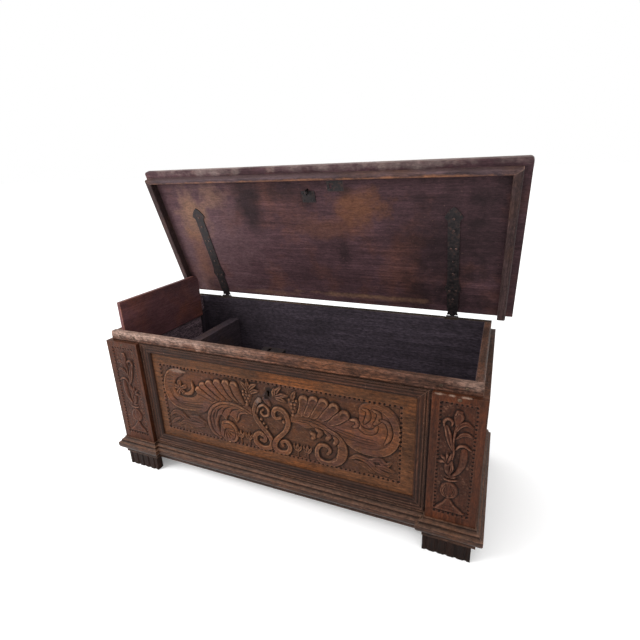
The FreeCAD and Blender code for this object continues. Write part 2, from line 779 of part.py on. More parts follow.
def strap(label, side, length, lean):
    """Strap with its spade finial and the centre knuckle of the barrel. Its tip leans to the left."""
    body = new_body(label)
    knuckle_half = centre_knuckle / 2
    barrel_half = barrel_length / 2
    relief = barrel_radius + knuckle_gap
    right = [(across * strap_width - along * lean, -rear_gap - along * length, bulge * strap_width)
             for along, across, bulge in STRAP_SHARES]
    left = []
    for i in range(len(STRAP_SHARES) - 1, 0, -1):
        along, across, _ = STRAP_SHARES[i]
        left.append((-across * strap_width - along * lean, right[i][1], right[i - 1][2]))
    tongue = [(barrel_half, -relief), (knuckle_half, -relief), (knuckle_half, 0),
              (-knuckle_half, 0), (-knuckle_half, -relief), (-barrel_half, -relief)]
    block(body, "XY_Plane", right + tongue + left, strap_thickness, offset=barrel_radius - strap_thickness)
    rod(body, "YZ_Plane", 0, 0, barrel_radius, centre_knuckle, side="Symmetric")
    rod(body, "YZ_Plane", 0, 0, pin_radius + pin_clearance, barrel_length, side="Symmetric", kind="Pocket")
    on_lid(body, side * strap_offset)


def leaf(label, side):
    """Leaf on the outside of the back, with the barrel's two outer knuckles."""
    body = new_body(label)
    barrel_half = barrel_length / 2
    free = centre_knuckle / 2 + knuckle_gap
    relief = barrel_radius + knuckle_gap
    point_share = 0.16
    shoulder_share = 0.75
    shoulder = leaf_length * (1 - point_share)
    outline = [(0, -leaf_length), (shoulder_share * barrel_half, -shoulder), (barrel_half, -shoulder),
               (barrel_half, 0), (-barrel_half, 0), (-barrel_half, -shoulder),
               (-shoulder_share * barrel_half, -shoulder)]
    block(body, "XZ_Plane", outline, strap_thickness, offset=barrel_radius + back_gap, backwards=True)
    rod(body, "YZ_Plane", 0, 0, barrel_radius, barrel_length, side="Symmetric")
    cut(body, "XZ_Plane", rectangle(-free, -relief, free, relief), 2 * (relief + overrun),
        side="Symmetric")
    rod(body, "YZ_Plane", 0, 0, pin_radius + pin_clearance, 2 * barrel_length, side="Symmetric",
        kind="Pocket")
    place(body, side * strap_offset, axis_y, axis_z)


def pin(label, side):
    """Hinge pin, riveted over at both ends."""
    body = new_body(label)
    half = barrel_length / 2 + fit_gap
    rod(body, "YZ_Plane", 0, 0, pin_radius, 2 * half, side="Symmetric")
    for end in (-1, 1):
        rod(body, "YZ_Plane", 0, 0, pin_head_radius, pin_head_length, offset=end * half, backwards=end < 0)
    place(body, side * strap_offset, axis_y, axis_z)


# Lid, drawn closed about the hinge axis

def catch_outline():
    front = overhang_front + batten_front_width + catch_inset - lid_front
    half = catch_width / 2
    return rectangle(catch_offset - half, front, catch_offset + half, front + catch_length)


def lid_board():
    """The board, rounded along its upper front and end edges, with a mortise for the catch plate."""
    body = new_body("lid_board")
    corner = lid_half - lid_corner_round
    turn = quarter_share * lid_corner_round
    outline = [(-lid_half, -rear_gap), (-lid_half, lid_corner_round - lid_front, turn), (-corner, -lid_front),
               (corner, -lid_front, turn), (lid_half, lid_corner_round - lid_front), (lid_half, -rear_gap)]
    block(body, "XY_Plane", outline, lid_thickness, offset=barrel_radius)
    base = cut(body, "XY_Plane", catch_outline(), staple_sheet, offset=barrel_radius, backwards=True)
    margin = lid_edge_round.value / 2
    top = (barrel_radius + lid_thickness).value - margin
    rear = -rear_gap.value - margin

    def upper_edge(middle, edge):
        return middle.z > top and middle.y < rear

    round_edges(body, base, upper_edge, lid_edge_round)
    on_lid(body)


def batten_outline(inner, out, width):
    """Section of a batten from its inner face outwards, hanging under the board."""
    low = barrel_radius - batten_height
    outer = inner + out * width
    return [(inner, barrel_radius), (outer, barrel_radius),
            (outer, low + batten_round, quarter_share * batten_round),
            (outer - out * batten_round, low),
            (inner + out * batten_inner_round, low, quarter_share * batten_inner_round),
            (inner, low + batten_inner_round)]


def batten_mitre(side, face):
    """Ends of the mitre between the front batten and a side batten, carried on past both corners."""
    lap = overrun * batten_width / batten_front_width
    outer = (side * (face + lap), -batten_outer_front - overrun)
    inner = (side * (face - batten_width - lap), batten_front_width + overrun - batten_outer_front)
    return outer, inner


def batten_front():
    body = new_body("batten_front")
    block(body, "YZ_Plane", batten_outline(batten_front_width - batten_outer_front, -1, batten_front_width),
          batten_left_face + batten_right_face, offset=-batten_left_face)
    for side, face in ((-1, batten_left_face), (1, batten_right_face)):
        outer, inner = batten_mitre(side, face)
        cut(body, "XY_Plane", [outer, (outer[0], inner[1]), inner], 2 * (batten_height + overrun),
            side="Symmetric")
    on_lid(body)


def batten_side(label, side, face):
    body = new_body(label)
    rear = rear_gap + batten_rear_inset
    block(body, "XZ_Plane", batten_outline(side * (face - batten_width), side, batten_width),
          batten_outer_front - rear, offset=rear)
    outer, inner = batten_mitre(side, face)
    cut(body, "XY_Plane", [outer, (inner[0], outer[1]), inner], 2 * (batten_height + overrun),
        side="Symmetric")
    on_lid(body)


# Lock, staple and catch plate

def staple_plate():
    """Plate under the lid with a loop that the bolt goes through."""
    body = new_body("staple_plate")
    half, bar_half = staple_width / 2, staple_thickness / 2
    front = staple_y - staple_half
    rear = staple_y + staple_length
    outline = [(-bar_half, front), (bar_half, front), (bar_half, staple_y), (half, staple_y),
               (half, rear), (-half, rear), (-half, staple_y), (-bar_half, staple_y)]
    level = barrel_radius - staple_sheet
    block(body, "XY_Plane", outline, staple_sheet, offset=level)
    centre = bolt_level - axis_z
    loop = rectangle(front, centre - staple_half, staple_y + staple_half, level + staple_sheet)
    block(body, "YZ_Plane", loop, staple_thickness, side="Symmetric")
    eye = rectangle(staple_y - staple_half_eye, centre - staple_half_eye,
                    staple_y + staple_half_eye, centre + staple_half_eye)
    cut(body, "YZ_Plane", eye, staple_thickness + overrun, side="Symmetric")
    on_lid(body, -staple_offset)


def catch_plate():
    """Slotted plate of an older catch, let in flush."""
    body = new_body("catch_plate")
    block(body, "XY_Plane", catch_outline(), staple_sheet, offset=barrel_radius)
    x = catch_offset - catch_slot_offset
    y = overhang_front + batten_front_width + catch_inset - lid_front + catch_length / 2
    slot = rectangle(x - catch_slot_width / 2, y - catch_slot_length / 2,
                     x + catch_slot_width / 2, y + catch_slot_length / 2)
    cut(body, "XY_Plane", slot, staple_sheet + 2 * overrun,
        offset=barrel_radius + staple_sheet + overrun)
    on_lid(body)


def lock_case():
    """Iron box behind the panel, open towards it, with a slot for the staple and a guide for the bolt."""
    body = new_body("lock_case")
    half = lock_width / 2
    level = bolt_level - rim_height + lock_top_drop
    block(body, "XZ_Plane", rectangle(-half, -lock_height, half, 0), lock_depth, backwards=True)
    inside = rectangle(lock_sheet - half, lock_sheet - lock_height, half - lock_sheet, -lock_sheet)
    cut(body, "XZ_Plane", inside, lock_depth - lock_sheet)
    block(body, "XZ_Plane", rectangle(-half, -lock_flange_thickness, half, 0), lock_flange_depth)
    start = guide_start - staple_offset - lock_centre
    reach = bolt_size / 2 + guide_wall
    front = staple_from_wall - reach
    block(body, "XZ_Plane", rectangle(start, level - reach, start + guide_length, level + reach),
          lock_depth - lock_sheet - front, offset=-front, backwards=True)
    free = bolt_size / 2 + bolt_fit
    way = rectangle(staple_from_wall - free, level - free, staple_from_wall + free, level + free)
    cut(body, "YZ_Plane", way, guide_length + overrun, offset=start + guide_length / 2, side="Symmetric")
    x = -staple_offset - lock_centre
    slot_half = staple_thickness / 2 + slot_clearance
    slot_reach = staple_half + slot_clearance
    slot = rectangle(x - slot_half, staple_from_wall - slot_reach, x + slot_half,
                     staple_from_wall + slot_reach)
    cut(body, "XY_Plane", slot, lock_flange_thickness)
    place(body, lock_centre, inner_front, rim_height - lock_top_drop)


def lock_bolt():
    """Square bolt with a lug underneath for the key."""
    body = new_body("lock_bolt")
    half = bolt_size / 2
    outline = [(0, -half), (bolt_length - bolt_lug, -half), (bolt_length - bolt_lug, -half - bolt_lug),
               (bolt_length, -half - bolt_lug), (bolt_length, half), (0, half)]
    block(body, "XZ_Plane", outline, bolt_size, side="Symmetric")
    place(body, staple_thickness / 2 + bolt_rest_gap - staple_offset, inner_front + staple_from_wall,
          bolt_level)


def build():
    """Make every sub-part."""
    top_rail()
    bottom_rail()
    carved_panel()
    panel_frame()
    back_board()
    floor()
    base_mouldings()
    ends = (("left", -1, strap_length_left, strap_lean_left, batten_left_face),
            ("right", 1, strap_length_right, strap_lean_right, batten_right_face))
    for suffix, side, strap_length, strap_lean, batten_face in ends:
        stile("front_stile_" + suffix, side)
        pilaster("pilaster_" + suffix, side)
        side_board("side_board_" + suffix, side)
        side_facing(suffix, side)
        foot("foot_front_" + suffix, side, True)
        foot("foot_rear_" + suffix, side, False)
        leaf("hinge_leaf_" + suffix, side)
        pin("hinge_pin_" + suffix, side)
        strap("hinge_strap_" + suffix, side, strap_length, strap_lean)
        batten_side("batten_" + suffix, side, batten_face)
    till()
    till_post()
    till_lid()
    lid_board()
    batten_front()
    staple_plate()
    catch_plate()
    lock_case()
    lock_bolt()


def check_and_export():
    """Stop on anything that is not sound, then write one file per sub-part."""
    document.recompute()
    for item in document.Objects:
        if "Invalid" in item.State or "Error" in item.State:
            raise RuntimeError("%s is in state %s" % (item.Label, item.State))
    os.makedirs("parts", exist_ok=True)
    for item in parts:
        if item.Shape.isNull() or not item.Shape.isValid() or not item.Shape.Solids:
            raise RuntimeError("%s has no sound shape" % item.Label)
        item.Shape.exportStep(os.path.join("parts", item.Label + ".step"))
        print(item.Label, len(item.Shape.Solids), round(item.Shape.Volume))


build()
check_and_export()
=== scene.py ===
import math
import random

import bpy
import numpy as np
from mathutils import Matrix, Vector


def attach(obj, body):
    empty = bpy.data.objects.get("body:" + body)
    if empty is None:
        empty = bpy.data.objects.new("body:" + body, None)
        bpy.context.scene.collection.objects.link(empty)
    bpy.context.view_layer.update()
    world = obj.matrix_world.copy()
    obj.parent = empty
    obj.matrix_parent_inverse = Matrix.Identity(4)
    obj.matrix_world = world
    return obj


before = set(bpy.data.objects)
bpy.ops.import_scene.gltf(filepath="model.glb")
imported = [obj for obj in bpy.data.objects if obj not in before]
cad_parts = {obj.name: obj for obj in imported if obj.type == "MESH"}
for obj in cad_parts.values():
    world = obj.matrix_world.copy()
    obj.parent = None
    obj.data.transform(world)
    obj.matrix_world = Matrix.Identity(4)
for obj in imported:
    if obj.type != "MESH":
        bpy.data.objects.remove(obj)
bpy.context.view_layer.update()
random.seed(11)
noise_source = np.random.default_rng(11)

MM = 0.001

# Places in the frame, in millimetres, before the shift that puts the frame's origin in the middle
MIDDLE_Y = 292.112
FRONT_WIDTH = 1400.0
LEDGE_HEIGHT = 567.0
RIM_HEIGHT = 602.0
FACING = 17.0
PANEL_FACE = 25.0
PANEL_GROUND = 29.0
PILASTER_GROUND = 3.5
AXIS_Y = 585.16
AXIS_Z = 594.74
BARREL_RADIUS = 7.76
REAR_GAP = 22.5
OPEN_ANGLE = 71.3
STRAP_THICKNESS = 3.2
STRAP_INSET = 165.0
# side, strap length, how far its tip leans to the left
STRAPS = ((-1, 433.0, 12.0), (1, 440.0, 7.0))
BACK_FACE = 577.0
# the middles of the lid's two plates
STAPLE_X = -2.0
CATCH_X = 109.5
# keyhole: middle and radius of its round head, half width and length of the slot under it
KEY_X = -2.0
KEY_Z = 453.0
KEY_RADIUS = 5.5
KEY_SLOT_HALF = 3.25
KEY_DROP = 18.0
PILASTER_BOARD = 151.0
PILASTER_FIELD_LOW = 157.0


def place(x, y, z):
    """A chest point in millimetres as a frame point in metres."""
    return Vector((x * MM, (y - MIDDLE_Y) * MM, z * MM))


# Relief carving

# How many cells away the near and the wider surroundings of a place reach
NEAR_STEPS = 6
WIDE_STEPS = 60


class Relief:
    """A height field in millimetres that strokes, leaves and beads are cut into."""

    def __init__(self, width, height, cell):
        self.width, self.height, self.cell = width, height, cell
        self.columns = int(round(width / cell)) + 1
        self.rows = int(round(height / cell)) + 1
        self.x = np.linspace(0, width, self.columns)
        self.y = np.linspace(0, height, self.rows)
        self.high = np.zeros((self.rows, self.columns))
        # darker paint on single places: the punched dots, and painted shade round the keyhole
        self.darkening = np.zeros((self.rows, self.columns))

    def window(self, x, y, reach):
        """The part of the grid around a point, with its distances from the point."""
        left = max(0, int((x - reach) / self.cell))
        right = min(self.columns, int((x + reach) / self.cell) + 2)
        low = max(0, int((y - reach) / self.cell))
        top = min(self.rows, int((y + reach) / self.cell) + 2)
        if left >= right or low >= top:
            return None
        dx = self.x[left:right][None, :] - x
        dy = self.y[low:top][:, None] - y
        return slice(low, top), slice(left, right), dx, dy

    def trace(self, points, widths):
        """For every cell: how far it is from a smooth line in half widths, and where along it."""
        path = smooth(points, self.cell * 0.8)
        count = len(path)
        along = np.linspace(0, 1, count)
        half = np.interp(along, np.linspace(0, 1, len(widths)), widths)
        step = np.gradient(path, axis=0)
        step /= np.maximum(np.linalg.norm(step, axis=1)[:, None], 1e-9)
        nearest = np.full(self.high.shape, np.inf)
        across = np.zeros(self.high.shape)
        place_along = np.zeros(self.high.shape)
        for i in range(count):
            found = self.window(path[i, 0], path[i, 1], half[i] * 1.1 + self.cell)
            if found is None:
                continue
            rows, columns, dx, dy = found
            distance = np.hypot(dx, dy) / half[i]
            side = (-step[i, 1] * dx + step[i, 0] * dy) / half[i]
            closer = distance < nearest[rows, columns]
            nearest[rows, columns] = np.where(closer, distance, nearest[rows, columns])
            across[rows, columns] = np.where(closer, side, across[rows, columns])
            place_along[rows, columns] = np.where(closer, along[i], place_along[rows, columns])
        return nearest, across, place_along

    def stroke(self, points, widths, rise, form="round", ends=(0.7, 0.7)):
        """A band along a smooth line. It covers what lies under it, with a cut at its edge."""
        nearest, across, place_along = self.trace(points, widths)
        inside = nearest < 1.0
        u = np.clip(nearest, 0, 1)
        fade = np.interp(place_along, [0, 0.12, 0.88, 1], [ends[0], 1, 1, ends[1]])
        edge = np.sqrt(np.clip(1 - (np.clip(u - 0.7, 0, 1) / 0.3) ** 2, 0, 1))
        if form == "ribbon":
            section = edge * (1.0 - 0.10 * u ** 2)
        elif form == "scoop":
            section = edge * (0.58 + 0.42 * np.clip(u / 0.72, 0, 1) ** 1.6)
        elif form == "leaf":
            section = edge * (0.55 + 0.45 * np.clip(np.abs(across) * 2.6, 0, 1))
        else:
            section = np.sqrt(np.clip(1 - u ** 2.2, 0, 1))
        height = rise * section * fade
        self.high = np.where(inside & (height > self.high), height, self.high)

    def cover(self, points, widths, rise, form="ribbon", ends=(0.7, 0.7), cut=1.25):
        """A band that lies over its surroundings: a narrow trench is cut beside it first."""
        self.trench(points, [w * cut for w in widths], 0.25)
        self.stroke(points, widths, rise, form, ends)

    def trench(self, points, widths, share):
        """Lowers what is there along a line to a share of its height."""
        nearest, _, _ = self.trace(points, widths)
        keep = np.interp(np.clip(nearest, 0, 1), [0, 0.75, 1], [share, share, 1])
        self.high *= np.where(nearest < 1.0, keep, 1.0)

    def groove(self, points, widths, depth):
        """A narrow cut with sloping sides."""
        nearest, _, _ = self.trace(points, widths)
        cut = depth * np.clip(1 - nearest, 0, 1)
        self.high -= np.where(self.high > 0.3, np.minimum(cut, self.high), 0)

    def mass(self, points, rise, edge, dish=0.0):
        """A filled closed outline with rounded edges, dished towards its middle."""
        line = smooth(list(points) + [points[0]], self.cell)
        left, right = line[:, 0].min(), line[:, 0].max()
        low, top = line[:, 1].min(), line[:, 1].max()
        columns = np.where((self.x >= left) & (self.x <= right))[0]
        rows = np.where((self.y >= low) & (self.y <= top))[0]
        grid_x, grid_y = np.meshgrid(self.x[columns], self.y[rows])
        inside = np.zeros(grid_x.shape, bool)
        start, end = line, np.roll(line, -1, axis=0)
        for (x0, y0), (x1, y1) in zip(start, end):
            crosses = (y0 > grid_y) != (y1 > grid_y)
            with np.errstate(divide="ignore", invalid="ignore"):
                at = (x1 - x0) * (grid_y - y0) / (y1 - y0) + x0
            inside ^= crosses & (grid_x < at)
        distance = np.full(grid_x.shape, np.inf)
        for x0, y0 in line[::2]:
            distance = np.minimum(distance, np.hypot(grid_x - x0, grid_y - y0))
        u = np.clip(distance / edge, 0, 1)
        section = np.sqrt(np.clip(1 - (1 - u) ** 2, 0, 1))
        if dish:
            section *= 1 - dish * np.clip((distance - edge) / (3 * edge), 0, 1)
        block = self.high[np.ix_(rows, columns)]
        block = np.where(inside, np.maximum(block, rise * section), block)
        self.high[np.ix_(rows, columns)] = block

    def bead(self, x, y, radius, rise):
        """A round knob."""
        found = self.window(x, y, radius * 1.1)
        if found is None:
            return
        rows, columns, dx, dy = found
        u = np.hypot(dx, dy) / radius
        bump = rise * np.sqrt(np.clip(1 - u ** 2, 0, 1))
        self.high[rows, columns] = np.maximum(self.high[rows, columns], bump)

    def dent(self, x, y, radius, depth, darkening=0.0):
        """A round hollow, which may be darker than the wood about it."""
        found = self.window(x, y, radius * 1.2)
        if found is None:
            return
        rows, columns, dx, dy = found
        u = np.hypot(dx, dy) / radius
        self.high[rows, columns] -= depth * np.clip(1 - u ** 2, 0, 1)
        self.darkening[rows, columns] += darkening * np.clip(1 - u ** 4, 0, 1)

    def soften(self, times):
        """Wear: every height moves towards its neighbours' mean."""
        for _ in range(times):
            self.high = 0.5 * self.high + 0.5 * neighbours(self.high)

    def hollows(self):
        """How far each place stands above or below its near and its wider surroundings."""
        wide = self.high
        near = None
        for i in range(WIDE_STEPS):
            if i == NEAR_STEPS:
                near = wide
            wide = neighbours(wide)
        # the darkening, with the painted shade round the keyhole, is taken off
        return (self.high - wide) / 4.5 + (self.high - near) / 1.6 - self.darkening

    def roughen(self, amount):
        """Tool marks: soft unevenness over the whole field."""
        coarse = noise_source.normal(size=(self.rows // 5 + 2, self.columns // 5 + 2))
        rows = np.linspace(0, coarse.shape[0] - 1.001, self.rows)
        columns = np.linspace(0, coarse.shape[1] - 1.001, self.columns)
        low_rows, low_columns = rows.astype(int), columns.astype(int)
        fr, fc = (rows - low_rows)[:, None], (columns - low_columns)[None, :]
        fr, fc = fr * fr * (3 - 2 * fr), fc * fc * (3 - 2 * fc)
        a = coarse[low_rows][:, low_columns]
        b = coarse[low_rows + 1][:, low_columns]
        c = coarse[low_rows][:, low_columns + 1]
        d = coarse[low_rows + 1][:, low_columns + 1]
        self.high += amount * ((a * (1 - fr) + b * fr) * (1 - fc) + (c * (1 - fr) + d * fr) * fc)


def neighbours(grid):
    """For every cell: the mean of the four cells beside it."""
    padded = np.pad(grid, 1, mode="edge")
    return (padded[:-2, 1:-1] + padded[2:, 1:-1] + padded[1:-1, :-2] + padded[1:-1, 2:]) / 4


def smooth(points, spacing):
    """A Catmull-Rom line through the points, sampled at an even spacing."""
    points = np.array(points, float)
    padded = np.vstack([2 * points[0] - points[1], points, 2 * points[-1] - points[-2]])
    line = []
    for i in range(1, len(padded) - 2):
        before, start, end, after = padded[i - 1:i + 3]
        for t in np.linspace(0, 1, 16, endpoint=False):
            line.append(0.5 * ((2 * start) + (end - before) * t
                               + (2 * before - 5 * start + 4 * end - after) * t ** 2
                               + (3 * start - before - 3 * end + after) * t ** 3))
    line.append(padded[-2])
    line = np.array(line)
    lengths = np.concatenate([[0], np.cumsum(np.linalg.norm(np.diff(line, axis=0), axis=1))])
    count = max(3, int(lengths[-1] / spacing) + 1)
    even = np.linspace(0, lengths[-1], count)
    return np.column_stack([np.interp(even, lengths, line[:, k]) for k in range(2)])


def relief_piece(name, relief, origin, depth, skip=None):
    """A closed mesh from a height field. Its back is a plane, its X runs along the front and its
    heights run towards the viewer. Cells under skip are left out."""
    rows, columns = relief.rows, relief.columns
    used = np.ones((rows - 1, columns - 1), bool)
    if skip is not None:
        middle_x = (relief.x[:-1] + relief.x[1:]) / 2
        middle_y = (relief.y[:-1] + relief.y[1:]) / 2
        used &= ~skip(middle_x[None, :], middle_y[:, None])
    grid_x, grid_y = np.meshgrid(relief.x, relief.y)
    front = np.stack([origin[0] + grid_x, origin[1] - relief.high, origin[2] + grid_y], -1)
    back = np.stack([origin[0] + grid_x, np.full_like(grid_x, origin[1] + depth), origin[2] + grid_y], -1)
    points = np.concatenate([front.reshape(-1, 3), back.reshape(-1, 3)])
    points[:, 1] -= MIDDLE_Y
    points *= MM
    index = np.arange(rows * columns).reshape(rows, columns)
    offset = rows * columns
    a, b = index[:-1, :-1], index[:-1, 1:]
    c, d = index[1:, 1:], index[1:, :-1]
    faces = [np.stack([a, b, c, d], -1)[used], np.stack([d, c, b, a], -1)[used] + offset]

    def wall(edge_used, start, end):
        s, e = start[edge_used], end[edge_used]
        return np.stack([e, s, s + offset, e + offset], -1)

    padded = np.pad(used, 1)
    below, above = padded[:-2, 1:-1], padded[2:, 1:-1]
    left, right = padded[1:-1, :-2], padded[1:-1, 2:]
    faces += [wall(used & ~below, a, b), wall(used & ~right, b, c),
              wall(used & ~above, c, d), wall(used & ~left, d, a)]
    faces = np.concatenate([f.reshape(-1, 4) for f in faces])
    kept = np.unique(faces)
    renumber = np.full(len(points), -1)
    renumber[kept] = np.arange(len(kept))
    mesh = bpy.data.meshes.new(name)
    mesh.from_pydata(points[kept].tolist(), [], renumber[faces].tolist())
    mesh.update()
    mesh.polygons.foreach_set("use_smooth", np.ones(len(mesh.polygons), bool))
    hollow = relief.hollows()
    for title, grid in (("carving", relief.high / max(relief.high.max(), 1e-6)), ("hollow", hollow)):
        values = np.concatenate([grid.reshape(-1), np.zeros(offset)])[kept]
        colour = mesh.attributes.new(title, "FLOAT", "POINT")
        colour.data.foreach_set("value", values.astype(np.float32))
    piece = bpy.data.objects.new(name, mesh)
    bpy.context.scene.collection.objects.link(piece)
    return piece


# Carving, drawn in hundredths of the panel field's width and of the pilaster field's height

FIELD_LEFT = -475.3
FIELD_LOW = 204.8
FIELD_WIDTH = 940.1
FIELD_HEIGHT = 286.6
SHARE = FIELD_WIDTH / 100
CARVING_RISE = 7.5
CARVING_CELL = 1.25
GROUND_TOP = 0.5
# no mark goes deeper than this below the ground
LOWEST = -0.5
PILASTER_WIDTH = 107.0
PILASTER_HEIGHT = 389.0


class Carver:
    """Draws on a relief in hundredths of the field's width."""

    def __init__(self, relief, unit, rise, mirrored=False):
        self.relief, self.unit, self.rise = relief, unit, rise
        self.mirrored = mirrored

    def at(self, points):
        spots = [(x * self.unit, y * self.unit) for x, y in points]
        return [(self.relief.width - x, y) for x, y in spots] if self.mirrored else spots

    def band(self, points, shares, high_share, form="round", ends=(0.7, 0.7)):
        self.relief.stroke(self.at(points), [w * self.unit for w in shares], self.rise * high_share,
                           form, ends)

    def over(self, points, shares, high_share, form="ribbon", ends=(0.7, 0.7), cut=1.22):
        self.relief.cover(self.at(points), [w * self.unit for w in shares], self.rise * high_share,
                          form, ends, cut)

    def cut(self, points, share, depth_share):
        self.relief.groove(self.at(points), [share * self.unit * k for k in (0.3, 1, 1, 0.3)],
                           self.rise * depth_share)

    def fill(self, points, high_share, edge_share, dish=0.0):
        self.relief.mass(self.at(points), self.rise * high_share, edge_share * self.unit, dish)

    def bead(self, x, y, share, high_share):
        (x, y), = self.at([(x, y)])
        self.relief.bead(x, y, share * self.unit, self.rise * high_share)


LEFT_LEAF_SHARES = [(12.6, 28.4), (9.0, 29.4), (5.0, 28.4), (2.3, 24.8), (1.2, 19.6), (2.2, 14.8),
                    (5.2, 11.6), (10.0, 10.6), (14.6, 11.0), (18.2, 10.6), (21.4, 12.4), (24.4, 15.8),
                    (28.2, 17.8), (33.0, 18.6), (38.0, 17.9), (42.6, 15.4), (43.2, 17.2), (41.0, 19.2),
                    (38.6, 20.4), (36.9, 22.6), (36.8, 25.2), (35.6, 27.4), (33.4, 26.2), (31.8, 27.2),
                    (29.6, 25.8), (27.4, 26.8), (25.4, 25.2), (23.6, 26.0), (22.0, 24.2), (20.2, 24.8),
                    (19.2, 22.8), (17.8, 21.6), (17.0, 19.0), (14.4, 17.4), (10.4, 17.0), (7.6, 18.6),
                    (6.8, 21.8), (8.4, 25.0), (11.0, 26.6)]
RIGHT_LEAF_SHARES = [(58.8, 15.6), (62.0, 15.4), (65.4, 14.2), (68.0, 15.0), (73.0, 15.4), (77.6, 13.6),
                     (80.6, 11.6), (84.0, 9.8), (88.0, 8.8), (92.4, 9.0), (96.4, 11.2), (99.0, 15.4),
                     (99.7, 20.0), (98.6, 25.2), (95.4, 28.8), (90.8, 30.0), (86.4, 28.6), (85.0, 26.2),
                     (85.2, 23.4), (84.8, 21.8), (82.4, 21.2), (81.6, 23.0), (79.8, 24.4), (77.8, 24.2),
                     (77.4, 26.0), (75.2, 26.4), (74.0, 25.6), (73.0, 27.2), (70.8, 26.8), (69.6, 25.8),
                     (68.4, 27.2), (66.2, 26.4), (65.4, 26.0), (64.2, 26.8), (63.0, 25.4), (63.4, 22.0),
                     (61.4, 19.6), (59.0, 17.8)]


def punched_border(relief, width, level, pitch):
    """A flat fillet round the field with a row of punched dots in it."""
    high, columns, rows = relief.high, relief.columns, relief.rows
    strip = int(round(width / relief.cell))
    runs = {"l": (slice(0, rows), slice(0, strip)),
            "r": (slice(0, rows), slice(columns - strip, columns)),
            "b": (slice(0, strip), slice(0, columns)),
            "t": (slice(rows - strip, rows), slice(0, columns))}
    for side in "lrbt":
        high[runs[side]] = np.maximum(high[runs[side]], level)
    for side in "lrbt":
        length = relief.height if side in "lr" else relief.width
        count = int(length / pitch)
        for i in range(count):
            along = (i + 0.5) * length / count + random.uniform(-0.06, 0.06) * pitch
            inset = width * random.uniform(0.46, 0.60)
            place_of = {"l": (inset, along), "r": (relief.width - inset, along),
                        "b": (along, inset), "t": (along, relief.height - inset)}
            relief.dent(*place_of[side], pitch * random.uniform(0.27, 0.33), level * 1.3, darkening=1.2)


def grapes(carver, centre, width, height):
    """A bunch of round berries, wide above and narrow below."""
    rows = 5
    berry = 0.72
    carver.fill([(centre[0] - width * 0.5, centre[1] + height * 0.5),
                 (centre[0] + width * 0.5, centre[1] + height * 0.5),
                 (centre[0] + width * 0.4, centre[1]), (centre[0], centre[1] - height * 0.6),
                 (centre[0] - width * 0.4, centre[1])], 0.35, 0.6)
    for row in range(rows):
        share = row / (rows - 1)
        across = max(1, int(round((1 - share * 0.78) * width / (1.9 * berry))))
        y = centre[1] + height * (0.5 - share)
        for i in range(across):
            x = centre[0] + (i - (across - 1) / 2) * 1.9 * berry + 0.15 * math.sin(7 * i + row)
            carver.bead(x, y, berry * (0.9 + 0.2 * abs(math.sin(3 * i + 5 * row))), 0.95)


def flower(carver, centre, radius, petals):
    """Petals about a bead."""
    for i in range(petals):
        angle = 2 * math.pi * i / petals + 0.4
        tip = (centre[0] + radius * math.cos(angle), centre[1] + radius * math.sin(angle))
        carver.band([centre, tip], [radius * 0.22, radius * 0.40], 0.8, "leaf")
    carver.bead(centre[0], centre[1], radius * 0.32, 1.0)


def lobes(carver, tips, roots, half, hollow):
    """The fingers of a broad leaf, laid one over the other, each with a raised curled tip."""
    for tip, root in zip(tips, roots):
        bend = 0.9 if tip[0] < root[0] else -0.9
        middle = (tip[0] * 0.45 + root[0] * 0.55 - bend, tip[1] * 0.45 + root[1] * 0.55 + 0.7)
        form = "scoop" if hollow else "round"
        carver.over([tip, middle, root],
                    [half, half * 0.95, half * 0.55], 1.0, form, ends=(1.0, 0.75), cut=1.12)
        carver.band([(tip[0] - 0.8 * half, tip[1] - 0.3), (tip[0] - 0.3 * half, tip[1] + 0.5 * half),
                     (tip[0] + 0.4 * half, tip[1] + 0.5 * half), (tip[0] + 0.8 * half, tip[1] - 0.3)],
                    [0.4, 0.7, 0.7, 0.4], 1.12)


def trefoil(carver, x, y, size):
    """A small upright leaf with three points."""
    for lean in (-1, 0, 1):
        tip = (x + lean * size * 0.75, y + size * (1.5 - 0.35 * abs(lean)))
        middle = (x + lean * size * 0.62, y + size * 0.7)
        carver.over([(x, y - size * 0.2), middle, tip], [0.35, size * 0.36, 0.25], 0.8, "leaf")
    carver.band([(x, y - size * 1.5), (x, y)], [0.25, 0.4], 0.6)


def broad_leaves(carver):
    """The two broad leaves, with their scrolls turned round the rosettes."""
    carver.fill(LEFT_LEAF_SHARES, 0.72, 0.9, 0.25)
    carver.fill(RIGHT_LEAF_SHARES, 0.72, 0.9, 0.25)
    carver.band([(12.8, 28.2), (8.8, 29.0), (4.6, 27.6), (2.2, 23.6), (1.7, 18.8), (3.2, 14.4),
                 (6.6, 11.9), (11.6, 11.5), (16.6, 12.2), (20.8, 13.6)], [0.55, 0.6, 0.6, 0.6, 0.5],
                0.95)
    carver.band([(79.6, 13.2), (83.6, 11.0), (88.0, 10.2), (92.2, 10.6), (95.6, 12.6), (97.8, 16.2),
                 (98.2, 20.4), (97.0, 24.6), (94.2, 27.4), (90.6, 28.6), (87.0, 27.6)],
                [0.5, 1.0, 1.3, 1.5, 1.6, 1.5, 1.5, 1.4, 1.2, 1.0, 0.7], 1.0, "ribbon")
    left_tips = [(18.8, 21.4), (21.0, 23.8), (24.2, 25.2), (28.0, 26.2), (32.0, 26.7), (35.6, 26.6)]
    left_roots = [(25.0, 18.6), (27.6, 19.2), (30.4, 19.8), (33.6, 20.0), (36.6, 19.8), (39.0, 19.4)]
    lobes(carver, left_tips, left_roots, 1.9, hollow=False)
    right_tips = [(64.8, 25.8), (68.6, 26.2), (72.3, 26.0), (76.2, 25.0), (79.9, 22.9)]
    right_roots = [(63.0, 19.6), (65.4, 19.8), (68.2, 19.8), (71.2, 19.4), (74.6, 18.4)]
    lobes(carver, right_tips, right_roots, 2.1, hollow=True)


